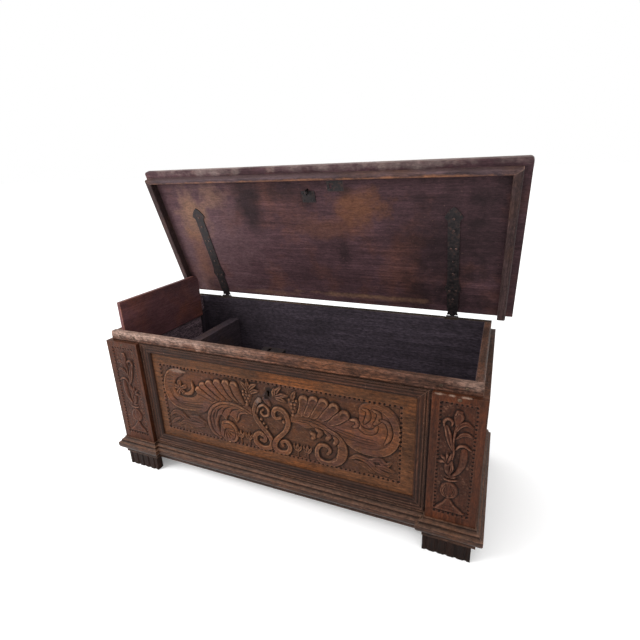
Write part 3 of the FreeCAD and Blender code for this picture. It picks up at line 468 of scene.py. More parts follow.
def veins(carver):
    """Cuts that follow the leaves."""
    for shift in (0.0, 1.2, 2.4):
        carver.cut([(42.0, 16.8 + 0.4 * shift), (38.6, 17.9 + 0.5 * shift), (33.6, 18.9 + 0.4 * shift)],
                   0.35, 0.3)
        carver.cut([(60.0, 16.9 + 0.4 * shift), (64.0, 17.6 + 0.5 * shift), (69.6, 17.8 + 0.5 * shift)],
                   0.35, 0.3)
        carver.cut([(20.0, 13.6 + shift), (15.0, 13.2 + shift * 0.8), (9.6, 13.2 + shift * 0.7),
                    (5.4 + shift * 0.3, 15.6), (4.0 + shift * 0.5, 20.0)], 0.45, 0.35)
        carver.cut([(74.0 + shift, 17.8 - shift * 0.8), (80.0, 16.4 - shift * 0.9),
                    (86.0, 15.4 - shift * 0.9), (91.6, 15.2 - shift * 0.8)], 0.4, 0.32)
    for level in (20.8, 22.4, 24.0, 25.6):
        carver.cut([(3.0, level - 0.4), (5.0, level), (7.2, level - 0.2)], 0.35, 0.3)


def left_spiral(carver):
    """The left leaf hangs into its spiral, under a thin ridge, and ends in a fluted shell."""
    carver.fill([(42.4, 15.4), (38.0, 17.6), (33.2, 18.3), (28.4, 17.5), (24.6, 15.0), (22.2, 11.2),
                 (21.8, 7.0), (23.4, 3.2), (26.8, 1.2), (27.2, 3.6), (26.2, 7.4), (27.2, 10.8),
                 (28.6, 12.2), (30.4, 10.4), (32.0, 12.8), (34.2, 11.6), (35.0, 10.0), (36.6, 11.8),
                 (37.6, 14.2), (40.4, 14.8)], 0.85, 0.8, 0.45)
    carver.over([(42.4, 15.6), (38.0, 17.6), (33.2, 18.3), (28.4, 17.5), (24.6, 15.0), (22.4, 11.2),
                 (22.1, 7.0), (23.6, 3.4), (26.8, 1.4)], [0.5, 0.7, 0.7, 0.7, 0.8, 0.9, 0.9, 0.9, 0.6],
                1.0, "round")
    for points in ([(39.6, 16.0), (36.8, 15.0), (35.6, 11.6)], [(37.0, 16.6), (33.8, 15.4), (32.2, 13.2)],
                   [(33.6, 17.0), (30.4, 15.4), (28.8, 12.8)], [(29.6, 16.2), (26.8, 13.6), (25.4, 9.8)],
                   [(26.0, 14.0), (24.4, 10.6), (24.8, 5.6)]):
        carver.cut(points, 0.5, 0.45)
    carver.fill([(27.8, 8.6), (30.0, 10.2), (33.0, 9.8), (35.0, 7.2), (35.3, 4.0), (33.6, 1.2),
                 (30.4, 0.3), (27.6, 1.6), (26.8, 4.6)], 0.75, 0.8)
    carver.over([(29.0, 8.8), (31.6, 9.6), (34.0, 8.0), (34.9, 5.0), (34.0, 2.0), (31.4, 0.7),
                 (28.6, 1.2)], [0.5, 0.7, 0.8, 0.8, 0.7, 0.6, 0.4], 1.0, "round")
    for tip in ((28.4, 2.0), (30.0, 1.6), (31.6, 2.0), (33.0, 3.2), (33.6, 5.0), (33.2, 6.8)):
        carver.cut([(29.4, 6.4), ((29.4 + tip[0]) / 2, (6.4 + tip[1]) / 2 - 0.2), tip], 0.35, 0.6)
    carver.bead(29.2, 6.8, 0.9, 1.1)
    carver.bead(28.6, 8.8, 0.7, 0.95)


def right_spiral(carver):
    """A broad ribbon that leaves the leaf at its lower edge. Rounded fingers hang into it."""
    carver.over([(70.4, 16.2), (74.8, 15.2), (78.0, 12.4), (79.2, 8.6), (78.4, 4.8), (75.6, 2.0),
                 (72.2, 1.4), (69.6, 3.0), (69.2, 6.0), (70.6, 8.6), (73.0, 8.9), (74.4, 7.2),
                 (73.4, 5.4)], [0.3, 0.8, 1.4, 1.8, 2.0, 1.9, 1.5, 1.2, 1.0, 0.9, 0.8, 0.7, 0.6], 1.0,
                "ribbon")
    for points in ([(75.6, 6.4), (76.6, 4.6), (75.2, 3.0)], [(77.8, 9.0), (76.4, 8.4), (75.4, 7.4)],
                   [(70.2, 5.0), (71.4, 3.4), (73.0, 3.2)]):
        carver.cut(points, 0.5, 0.5)
    for points in ([(67.0, 13.0), (68.4, 12.0), (67.6, 10.6)],
                   [(69.2, 15.0), (70.9, 13.8), (69.8, 11.9)],
                   [(72.6, 14.8), (74.2, 13.4), (73.2, 11.6)],
                   [(75.8, 13.6), (77.0, 12.0), (76.0, 10.2)]):
        carver.over(points, [0.7, 1.1, 0.8], 0.95, "round")
    for points in ([(62.0, 16.6), (66.0, 16.6), (68.6, 15.0)], [(64.0, 17.6), (69.0, 17.2), (72.6, 15.8)],
                   [(66.0, 18.8), (71.0, 18.0), (75.4, 16.0)]):
        carver.cut(points, 0.45, 0.4)


def scroll_fillings(carver):
    """The rosette in the left scroll, the fingers and crescents in the right one."""
    flower(carver, (9.4, 20.8), 2.6, 5)
    carver.over([(15.6, 24.8), (15.9, 21.6), (14.2, 19.4), (11.4, 18.6)],
                [0.4, 0.8, 1.0, 0.5], 1.0, "round")
    for points, shares in (([(86.4, 26.8), (88.2, 26.4), (88.4, 24.0), (87.2, 21.6)],
                            [0.5, 0.8, 1.1, 0.6]),
                           ([(89.8, 27.0), (92.0, 26.2), (92.0, 23.6), (90.6, 21.8)],
                            [0.5, 0.8, 1.1, 0.6]),
                           ([(85.0, 21.4), (85.8, 19.4), (88.0, 18.3), (90.4, 18.9), (91.6, 21.0)],
                            [0.6, 1.0, 1.2, 1.1, 0.6]),
                           ([(92.6, 23.8), (94.8, 23.2), (96.0, 20.6), (95.8, 17.6), (94.2, 14.6)],
                            [0.5, 0.9, 1.0, 0.9, 0.4])):
        carver.over(points, shares, 0.95, "round")
    carver.bead(89.0, 20.9, 1.0, 1.0)
    carver.over([(82.0, 21.6), (84.0, 21.8), (84.6, 20.2), (83.2, 19.0)],
                [0.5, 0.8, 0.9, 0.6], 1.0, "round")


def middle_ribbons(carver):
    """Two crossed ribbons with their volutes."""
    carver.over([(46.0, 22.4), (44.7, 20.4), (43.9, 17.4), (44.4, 14.4), (46.4, 11.4), (48.8, 8.6),
                 (50.6, 5.4), (49.6, 2.4), (46.2, 1.6), (43.6, 3.4), (43.4, 6.2), (45.4, 7.9),
                 (47.6, 6.8), (47.4, 4.8), (45.8, 4.8)],
                [0.9, 1.0, 1.1, 1.1, 1.1, 1.1, 1.1, 1.1, 1.0, 0.9, 0.7], 1.0, "ribbon")
    carver.over([(54.9, 16.4), (52.9, 16.0), (52.0, 17.8), (53.2, 20.0), (55.8, 20.0), (57.6, 17.8),
                 (58.0, 14.8), (56.8, 11.4), (54.4, 8.6), (52.2, 5.8), (51.8, 3.0), (54.0, 1.4),
                 (57.2, 2.2), (58.2, 4.8), (56.8, 6.8), (54.8, 6.0), (55.2, 4.6)],
                [0.6, 0.9, 1.0, 1.1, 1.1, 1.0, 1.0, 1.1, 1.2, 1.1, 1.0, 0.8, 0.6], 1.0, "ribbon")
    carver.over([(44.8, 16.6), (46.0, 19.4), (48.2, 20.6), (50.0, 19.0), (49.8, 16.8), (48.0, 16.0),
                 (46.8, 17.4), (47.8, 18.6)], [0.5, 0.6, 0.6, 0.6, 0.5], 1.0, "round")
    carver.bead(46.3, 22.3, 1.2, 1.1)
    for x, y in ((46.6, 14.2), (47.6, 12.6), (48.6, 11.2)):
        carver.bead(x, y, 0.7, 0.9)
    carver.bead(56.2, 15.0, 0.8, 0.9)


def vines(carver):
    """Grapes with their leaves."""
    grapes(carver, (41.0, 22.2), 4.6, 5.4)
    grapes(carver, (60.4, 21.9), 4.2, 6.0)
    for tip, root in (((39.0, 28.6), (41.6, 25.6)), ((41.6, 29.2), (42.2, 25.8)),
                      ((45.4, 28.6), (42.4, 26.2)), ((46.2, 26.0), (43.0, 24.8)),
                      ((55.6, 29.2), (52.8, 25.6)), ((53.0, 28.2), (52.8, 25.4)),
                      ((58.2, 26.2), (53.6, 25.2)), ((57.4, 23.6), (53.6, 24.6)),
                      ((61.4, 28.4), (60.2, 25.4))):
        middle = ((tip[0] + root[0]) / 2, (tip[1] + root[1]) / 2 + 0.4)
        carver.over([tip, middle, root], [0.4, 1.0, 0.6], 0.85, "leaf")
    carver.fill([(48.6, 24.4), (50.4, 23.2), (51.4, 21.0), (50.4, 20.4), (48.8, 21.6), (47.6, 23.2)],
                0.7, 0.6)


def small_leaves(carver):
    """Three-pointed leaves beside the volutes, tendrils and leaves in the lower corners."""
    for x in (36.6, 40.4, 61.4, 65.4):
        trefoil(carver, x, 4.0, 2.0)
    for points, shares in (([(1.8, 6.6), (4.6, 8.8), (8.0, 8.4), (10.6, 6.2), (14.4, 6.0)],
                            [0.4, 0.9, 1.1, 1.0, 0.6]),
                           ([(12.6, 7.8), (15.6, 7.8), (19.8, 6.4)], [0.8, 1.4, 0.7]),
                           ([(6.0, 3.0), (9.4, 5.0), (13.6, 4.4), (18.6, 5.0)], [0.4, 1.0, 1.3, 0.7]),
                           ([(2.4, 3.4), (4.4, 5.0), (6.6, 6.2)], [0.4, 0.8, 0.4]),
                           ([(81.6, 5.6), (84.6, 7.2), (88.6, 6.2), (91.6, 3.6), (95.6, 2.4)],
                            [0.4, 0.9, 1.1, 1.0, 0.6]),
                           ([(84.0, 5.0), (87.0, 4.4), (90.6, 2.2)], [0.5, 1.0, 0.5]),
                           ([(88.8, 6.8), (92.4, 7.8), (94.6, 6.2), (96.6, 7.6)], [0.5, 1.0, 1.1, 0.5]),
                           ([(91.6, 5.0), (94.4, 5.0), (97.4, 4.2)], [0.5, 1.0, 0.5])):
        carver.over(points, [1.1 * w for w in shares], 0.6, "leaf")


def stipple(relief, ground, count):
    """Small punch marks on the ground, which never reach the back of the piece."""
    for _ in range(count):
        x, y = random.uniform(0, relief.width), random.uniform(0, relief.height)
        if ground[int(y / relief.cell), int(x / relief.cell)]:
            relief.dent(x, y, random.uniform(1.5, 2.6), random.uniform(0.3, 0.7))
    relief.high = np.clip(relief.high, LOWEST, None)


def carve_panel():
    """The panel's whole carving."""
    relief = Relief(FIELD_WIDTH, FIELD_HEIGHT, CARVING_CELL)
    carver = Carver(relief, SHARE, CARVING_RISE)
    for group in (broad_leaves, veins, left_spiral, right_spiral, scroll_fillings, middle_ribbons, vines,
                  small_leaves):
        group(carver)
    # the wood round the keyhole is dished and darkened with painted shade, so that the hole reads dark
    for x, y, radius in ((50.6, 27.0, 13.0), (50.2, 25.4, 12.0), (49.3, 24.2, 9.0)):
        relief.dent(x * SHARE, y * SHARE, radius, 0.2, darkening=1.6)
    punched_border(relief, 9.5, 3.2, 16.0)
    relief.soften(1)
    ground = relief.high < GROUND_TOP
    relief.roughen(0.2)
    stipple(relief, ground, 1500)
    return relief


def keyhole_gap(x, z):
    """Where the field is left open for the keyhole."""
    key_x, key_z = KEY_X - FIELD_LEFT, KEY_Z - FIELD_LOW
    round_part = np.hypot(x - key_x, z - key_z) < KEY_RADIUS
    slot = (np.abs(x - key_x) < KEY_SLOT_HALF) & (z < key_z) & (z > key_z - KEY_DROP)
    return round_part | slot


def plant_foot(carver):
    """Bell-shaped foot, ball and collar."""
    carver.fill([(1.6, 3.4), (22.8, 3.4), (21.0, 6.6), (16.4, 10.4), (12.6, 15.4), (9.4, 15.4),
                 (6.6, 10.6), (2.6, 6.6)], 0.95, 1.1, 0.15)
    for k, half in enumerate((7.4, 5.0)):
        carver.cut([(11.4 - half, 6.0 + 3.0 * k), (11.4 + half, 6.0 + 3.0 * k)], 0.5, 0.35)
    carver.fill([(10.8, 15.6), (15.6, 17.6), (18.0, 22.6), (16.6, 28.4), (11.2, 31.6), (6.0, 28.4),
                 (4.4, 22.6), (6.4, 17.6)], 1.0, 1.8)
    carver.over([(9.6, 17.6), (6.8, 22.6), (9.0, 28.8)], [0.4, 0.9, 0.4], 1.12, "round")
    carver.over([(12.2, 18.4), (14.8, 23.0), (12.4, 28.6)], [0.4, 0.8, 0.4], 1.12, "round")
    carver.over([(6.6, 33.4), (11.4, 32.8), (16.6, 34.0)], [0.8, 1.1, 0.8], 1.0, "round")
    carver.over([(8.0, 36.2), (11.6, 35.8), (15.2, 36.6)], [0.8, 1.0, 0.8], 0.95, "round")


def plant_horn(carver):
    """Horn with its crescent, bud with its curls."""
    carver.over([(12.6, 37.0), (16.6, 42.0), (19.2, 48.4), (19.8, 55.0), (19.8, 61.0)],
                [1.0, 1.9, 2.6, 3.0, 2.4], 0.95, "round")
    carver.over([(13.8, 61.0), (16.2, 64.8), (20.2, 65.4), (24.6, 62.6)],
                [0.5, 1.1, 1.3, 0.5], 1.1, "round")
    carver.over([(11.4, 36.6), (9.0, 41.0), (8.6, 46.4), (11.4, 52.6)], [1.0, 2.2, 2.6, 1.0], 0.95,
                "round")
    carver.over([(10.4, 38.0), (12.2, 44.0), (11.6, 50.6)], [0.5, 1.3, 0.6], 1.08, "leaf")
    for tip in ((2.8, 48.2), (4.2, 53.0), (8.0, 56.2), (11.6, 56.0)):
        carver.over([(tip[0], tip[1]), ((tip[0] + 8.8) / 2, (tip[1] + 48.6) / 2 + 0.8), (8.8, 48.0)],
                    [1.2, 1.5, 0.8], 1.0, "round")


def plant_top(carver):
    """Stem, long leaf, round bud and two crescents."""
    carver.over([(11.8, 52.0), (12.6, 58.0), (11.8, 66.0), (12.2, 74.0), (13.0, 80.0)],
                [0.8, 0.9, 0.9, 1.0, 1.2], 0.95, "round")
    carver.over([(11.6, 60.0), (9.2, 67.0), (7.6, 73.6), (6.0, 79.0)], [0.6, 1.9, 2.4, 1.8], 0.95, "leaf")
    carver.over([(4.4, 79.6), (4.2, 83.6), (6.8, 86.2), (10.0, 84.4), (9.8, 80.8)],
                [0.7, 1.2, 1.4, 1.2, 0.6], 1.05, "round")
    carver.over([(13.0, 76.6), (15.4, 81.6), (19.6, 84.4), (24.0, 82.0)],
                [0.6, 1.5, 1.9, 0.7], 1.0, "scoop")
    carver.over([(13.4, 70.4), (17.6, 75.0), (21.4, 75.6), (24.6, 73.8)],
                [0.5, 1.2, 1.5, 0.5], 1.0, "scoop")
    carver.fill([(12.6, 80.0), (16.0, 84.0), (17.8, 89.0), (15.6, 93.4), (12.2, 93.6), (10.6, 89.4),
                 (11.2, 84.0)], 0.95, 1.4)
    carver.over([(11.6, 89.6), (13.0, 93.6), (16.4, 93.2)], [0.5, 0.9, 0.5], 1.12, "round")


# How high the pilasters' carving stands beside the panel's, and what wear has left of the left one
PILASTER_RISE = 0.85
LEFT_WORN = 0.85


def carve_pilaster(left):
    """One plant on a stepped foot. The left pilaster mirrors the right one and is more worn."""
    relief = Relief(PILASTER_WIDTH, PILASTER_HEIGHT, CARVING_CELL)
    carver = Carver(relief, PILASTER_HEIGHT / 100, CARVING_RISE * PILASTER_RISE, mirrored=left)
    plant_foot(carver)
    plant_horn(carver)
    plant_top(carver)
    punched_border(relief, 8.0, 2.9, 13.0)
    if left:
        relief.high *= LEFT_WORN
    relief.soften(3 if left else 1)
    relief.roughen(0.25)
    stipple(relief, relief.high < GROUND_TOP, 420)
    return relief


def dome(verts, faces, centre, axis, radius, rise_share, sides=10, rings=3):
    """A closed low dome on a flat base, standing on a surface with the given normal."""
    axis = axis.normalized()
    first = axis.orthogonal().normalized()
    second = axis.cross(first)
    base = len(verts)
    for ring in range(rings):
        angle = ring / rings * math.pi / 2
        out, up = math.cos(angle) * radius, math.sin(angle) * radius * rise_share
        for i in range(sides):
            turn = 2 * math.pi * i / sides
            sideways = first * math.cos(turn) + second * math.sin(turn)
            verts.append(centre + sideways * out + axis * up)
    top = len(verts)
    verts.append(centre + axis * radius * rise_share)
    for ring in range(rings - 1):
        for i in range(sides):
            j = (i + 1) % sides
            a, b = base + ring * sides + i, base + ring * sides + j
            faces.append((a, b, b + sides, a + sides))
    last = base + (rings - 1) * sides
    for i in range(sides):
        faces.append((last + i, last + (i + 1) % sides, top))
    faces.append(tuple(base + i for i in reversed(range(sides))))


def mesh_piece(name, verts, faces, body):
    """A new piece of the scene that rides on a body."""
    mesh = bpy.data.meshes.new(name)
    mesh.from_pydata([tuple(v) for v in verts], [], faces)
    mesh.update()
    mesh.polygons.foreach_set("use_smooth", [len(p.vertices) < 5 for p in mesh.polygons])
    piece = bpy.data.objects.new(name, mesh)
    bpy.context.scene.collection.objects.link(piece)
    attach(piece, body)
    return piece


# Materials

class Nodes:
    """A short way to build the nodes of a material or of the world."""

    def __init__(self, owner):
        self.material = owner
        owner.use_nodes = True
        self.tree = owner.node_tree
        self.shader = self.tree.nodes.get("Principled BSDF")

    def add(self, kind, **settings):
        node = self.tree.nodes.new("ShaderNode" + kind)
        for key, value in settings.items():
            if hasattr(node, key):
                setattr(node, key, value)
            else:
                node.inputs[key.replace("_", " ")].default_value = value
        return node

    def link(self, source, target):
        self.tree.links.new(source, target)

    def feed(self, title, value):
        """Gives a value or a node's output to an input of the shader."""
        socket = self.shader.inputs[title]
        if isinstance(value, bpy.types.NodeSocket):
            self.link(value, socket)
        else:
            socket.default_value = value

    def coordinates(self, kind):
        return self.add("TexCoord").outputs[kind]

    def mapped(self, scale, offset=(0, 0, 0), turn=0.0):
        """Object coordinates, first turned about X, then stretched and moved."""
        vector = self.coordinates("Object")
        for settings in ((1, 1, 1), (0, 0, 0), (turn, 0, 0)), (scale, offset, (0, 0, 0)):
            mapping = self.add("Mapping", **dict(zip(("Scale", "Location", "Rotation"), settings)))
            self.link(vector, mapping.inputs["Vector"])
            vector = mapping.outputs["Vector"]
        return vector

    def noise(self, vector, scale, detail=4.0, roughness=0.6, distortion=0.0):
        node = self.add("TexNoise", Scale=scale, Detail=detail, Roughness=roughness, Distortion=distortion)
        self.link(vector, node.inputs["Vector"])
        return node.outputs["Fac"]

    def ramp(self, value, *stops):
        node = self.add("ValToRGB")
        elements = node.color_ramp.elements
        while len(elements) < len(stops):
            elements.new(0.5)
        for element, (position, colour) in zip(elements, stops):
            element.position = position
            element.color = (*colour, 1)
        self.link(value, node.inputs["Fac"])
        return node.outputs["Color"]

    def level(self, value, low, high, to_low=0.0, to_high=1.0):
        node = self.add("MapRange", From_Min=low, From_Max=high, To_Min=to_low, To_Max=to_high)
        self.link(value, node.inputs["Value"])
        return node.outputs["Result"]

    def fill(self, sockets, values):
        """Sets each socket to its number or colour, or links it."""
        for socket, value in zip(sockets, values):
            if isinstance(value, tuple):
                socket.default_value = (*value, 1) if len(socket.default_value) == 4 else value
            elif isinstance(value, (int, float)):
                socket.default_value = value
            else:
                self.link(value, socket)

    def mix(self, amount, first, second, kind="MIX"):
        node = self.add("Mix", data_type="RGBA", blend_type=kind)
        self.fill((node.inputs[0], node.inputs[6], node.inputs[7]), (amount, first, second))
        return node.outputs[2]

    def math(self, operation, *values):
        node = self.add("Math", operation=operation)
        self.fill(node.inputs, values)
        return node.outputs["Value"]

    def dot(self, first, second):
        node = self.add("VectorMath", operation="DOT_PRODUCT")
        self.fill(node.inputs, (first, second))
        return node.outputs["Value"]

    def bump(self, height, distance, strength=1.0, normal=None):
        node = self.add("Bump", Strength=strength, Distance=distance)
        self.link(height, node.inputs["Height"])
        if normal is not None:
            self.link(normal, node.inputs["Normal"])
        return node.outputs["Normal"]

    def edge(self, radius):
        """1 on edges, where hands and feet rub and where mouldings get painted highlights, 0 on flat
        faces.
        """
        bevel = self.add("Bevel", samples=4, Radius=radius)
        straight = self.add("NewGeometry").outputs["Normal"]
        return self.level(self.dot(bevel.outputs["Normal"], straight), 0.995, 0.80)


STAGE_LIFT = 0.16
GRAIN_ALONG = {"x": (1.0, 24.0, 24.0), "y": (24.0, 1.0, 24.0), "z": (24.0, 24.0, 1.0)}

WOODS = {
    # middle colour, worn and highlit edge colour, how much wear, dust and painted sheen on ledges,
    # strength of the grain, roughness
    "rail": ((0.058, 0.0270, 0.0185), (0.22, 0.145, 0.11), 0.7, 0.12, 1.0, 0.50),
    "stile": ((0.022, 0.010, 0.0085), (0.12, 0.072, 0.05), 0.6, 0.1, 0.9, 0.48),
    "moulding": ((0.025, 0.0105, 0.0068), (0.21, 0.115, 0.075), 1.0, 0.10, 0.8, 0.42),
    "base": ((0.033, 0.0160, 0.0108), (0.26, 0.160, 0.115), 0.9, 0.15, 0.9, 0.40),
    "foot": ((0.009, 0.0026, 0.0012), (0.045, 0.019, 0.010), 0.5, 0.1, 0.8, 0.50),
    "panel": ((0.070, 0.0275, 0.0115), (0.24, 0.11, 0.05), 0.5, 0.1, 0.9, 0.42),
    "carving": ((0.064, 0.0250, 0.012), (0.27, 0.130, 0.068), 0.5, 0.0, 0.7, 0.40),
    "pilaster": ((0.038, 0.0125, 0.0064), (0.15, 0.070, 0.042), 0.6, 0.1, 0.8, 0.42),
    "pilaster_carving": ((0.044, 0.0142, 0.0076), (0.19, 0.088, 0.054), 0.5, 0.0, 0.7, 0.42),
    "lid": ((0.054, 0.0280, 0.0330), (0.17, 0.10, 0.08), 0.4, 0.0, 0.62, 0.58),
    "batten": ((0.040, 0.024, 0.024), (0.20, 0.13, 0.10), 0.7, 0.1, 0.8, 0.50),
    "batten_front": ((0.058, 0.037, 0.042), (0.26, 0.16, 0.12), 0.7, 0.1, 0.8, 0.50),
    "inside": ((0.033, 0.026, 0.035), (0.09, 0.06, 0.05), 0.3, 0.0, 0.6, 0.70),
    "back": ((0.036, 0.026, 0.020), (0.10, 0.07, 0.055), 0.4, 0.0, 0.9, 0.75),
    "lid_top": ((0.050, 0.027, 0.019), (0.18, 0.11, 0.08), 0.5, 0.0, 0.9, 0.48),
    # painted light: the left side board's inner face, a lighter copy of the inside wood, as if lit from
    # the left
    "wall": ((0.150, 0.108, 0.130), (0.17, 0.11, 0.09), 0.3, 0.0, 0.7, 0.70),
    "divider": ((0.058, 0.044, 0.054), (0.07, 0.05, 0.05), 0.2, 0.0, 0.6, 0.60),
    "till": ((0.105, 0.047, 0.052), (0.42, 0.16, 0.07), 0.9, 0.0, 0.55, 0.42),
    "raw": ((0.050, 0.033, 0.022), (0.14, 0.10, 0.08), 0.3, 0.0, 1.0, 0.80),
}
# Speckles: how many to the metre, and how soft they are
MOTTLE = {"rail": (62.0, 0.065), "carving": (70.0, 0.09), "pilaster_carving": (70.0, 0.09),
          "base": (60.0, 0.07)}
EVEN_MOTTLE = (55.0, 0.12)
# Gains of red, green and blue in warmer and in greyed patches
WARMER = (1.50, 1.24, 0.85)
GREYER = (0.88, 0.93, 1.42)
# Where dark, middle and light lie in the grain's noise
GRAIN_STOPS = (0.37, 0.50, 0.64)
# Rubbed edges, which on mouldings and the base carry painted highlights too: radius in metres, least
# lightening of every edge
FINE_EDGE = (0.0016, 0.4)
SOFT_EDGE = (0.0035, 0.1)
SPECULAR = 0.10
SMALL_MARK = 0.05
made = {}


def spot(n, colour, centre, reach, tint, strength, rough):
    """One soft mark with a ragged edge, at a place on the piece: stained, worn, painted sheen or painted
    shade.
    """
    scale = tuple(1 / r for r in reach)
    vector = n.mapped(scale, tuple(-c * k for c, k in zip(centre, scale)))
    length = n.add("VectorMath", operation="LENGTH")
    n.link(vector, length.inputs[0])
    if reach[0] < SMALL_MARK:
        rough = n.noise(n.mapped((1, 1, 1)), 110.0, 4.0, 0.7)
    ragged = n.math("ADD", length.outputs["Value"],
                    n.math("MULTIPLY", n.math("SUBTRACT", rough, 0.5), 2.2))
    return n.mix(n.level(ragged, 1.1, 0.35, 0.0, strength), colour, tint)


def painted_shade_and_highlight_lines(n, colour, direction, start, lines):
    """Painted shade as dark lines in a moulding's quirks and painted highlights as light ones on its
    arrises, from its start.
    """
    span = lines[-1][0] + 10
    across = n.dot(n.coordinates("Object"), tuple(c / (span * MM) for c in direction))
    share = n.math("SUBTRACT", across, (start - 5) / span)
    stops = []
    for distance, gain, half in lines:
        stops += [((distance + 5 - half) / span, (1, 1, 1)), ((distance + 5) / span, (gain, gain, gain)),
                  ((distance + 5 + half) / span, (1, 1, 1))]
    return n.mix(1.0, colour, n.ramp(share, *stops), "MULTIPLY")


def shades(kind):
    """Dark, middle and light colour of a wood's grain."""
    middle, contrast = WOODS[kind][0], WOODS[kind][4]
    dark = tuple(c * (1 - 0.64 * contrast) for c in middle)
    light = tuple(c * (1 + 0.9 * contrast) for c in middle)
    return dark, middle, light


class Grain:
    """Where the streaks of one board run, and where its noises start."""

    def __init__(self, n, axis, turn):
        self.n, self.along, self.turn = n, GRAIN_ALONG[axis], turn
        self.shift = (len(made) * 1.7, len(made) * 0.9, len(made) * 2.3)

    def drawn(self, stretch, *settings):
        """A noise drawn out along the grain. The stretch says what becomes of each axis' gain."""
        return self.n.noise(self.n.mapped(tuple(map(stretch, self.along)), self.shift, self.turn),
                            *settings)

    def even(self, *settings):
        """A noise that is the same in every direction."""
        return self.n.noise(self.n.mapped((1, 1, 1), self.shift), *settings)


def patchy(n, grain, kind, colour, patches):
    """Darker and warmer patches, and on the carving greyed ones."""
    colour = n.mix(n.level(patches, 0.46, 0.66, 0.0, 0.65), colour, shades(kind)[0])
    hues = grain.even(3.7, 5.0, 0.65)
    colour = n.mix(n.level(hues, 0.50, 0.64, 0.0, 0.8), colour, WARMER, "MULTIPLY")
    if kind == "carving":
        greyed = grain.even(9.0, 5.0, 0.7)
        colour = n.mix(n.level(greyed, 0.47, 0.56, 0.0, 0.85), colour, GREYER, "MULTIPLY")
    return colour


def faced(n, colour, direction, kind, streaks, patches):
    """Another wood's colour on the faces that look in one direction."""
    facing = n.dot(n.coordinates("Normal"), direction)
    plain = n.ramp(streaks, *zip(GRAIN_STOPS, shades(kind)))
    plain = n.mix(n.level(patches, 0.46, 0.66, 0.0, 0.65), plain, shades(kind)[0])
    return n.mix(n.level(facing, 0.55, 0.85), colour, plain)


def speckled(n, grain, kind, colour):
    """Small dark and light flecks, a little drawn out along the grain."""
    scale, spread = MOTTLE.get(kind, EVEN_MOTTLE)
    mottle = grain.drawn(lambda v: v ** 0.35, scale, 6.0, 0.8)
    marks = n.ramp(mottle, (0.5 - spread, (0.42, 0.42, 0.42)), (0.5 + spread, (1.75, 1.66, 1.58)))
    return n.mix(0.9 * WOODS[kind][4] ** 1.5, colour, marks, "MULTIPLY")


def dust_and_sheen(n, colour, dust_sheen, worn, scratches):
    """Dust and painted sheen: what looks upwards is lightened."""
    upward = n.add("SeparateXYZ")
    n.link(n.coordinates("Normal"), upward.inputs[0])
    lying = n.math("MULTIPLY", n.level(upward.outputs["Z"], 0.25, 0.85),
                   n.level(scratches, 0.35, 0.65, 0.3, 1.0))
    return n.mix(n.math("MULTIPLY", lying, dust_sheen), colour, worn)


def carved_colour(n, colour, dark, worn, scratches, rubbed_and_highlit):
    """Painted shade on the ground and in the hollows, wear and painted highlight on the high places. Edges
    in hollows aren't rubbed.
    """
    height = n.add("Attribute", attribute_name="carving").outputs["Fac"]
    hollow = n.add("Attribute", attribute_name="hollow").outputs["Fac"]
    # painted shade: the lower the carving, the darker its colour
    colour = n.mix(n.level(height, 0.22, 0.02, 0.0, 0.35), colour, tuple(c * 0.6 for c in dark))
    # painted shade in the hollows
    colour = n.mix(n.level(hollow, -0.08, -0.75, 0.0, 0.95), colour, tuple(c * 0.28 for c in dark))
    # wear and painted highlight on the places that stand out
    high_wear_and_highlight = n.math("MULTIPLY", n.level(hollow, 0.30, 1.2), n.level(height, 0.40, 0.85))
    high_wear_and_highlight = n.math("MULTIPLY", high_wear_and_highlight, n.level(scratches, 0.34, 0.64, 0.1, 0.75))
    return n.mix(high_wear_and_highlight, colour, worn), n.math("MULTIPLY", rubbed_and_highlit, n.level(hollow, -0.9, -0.3))


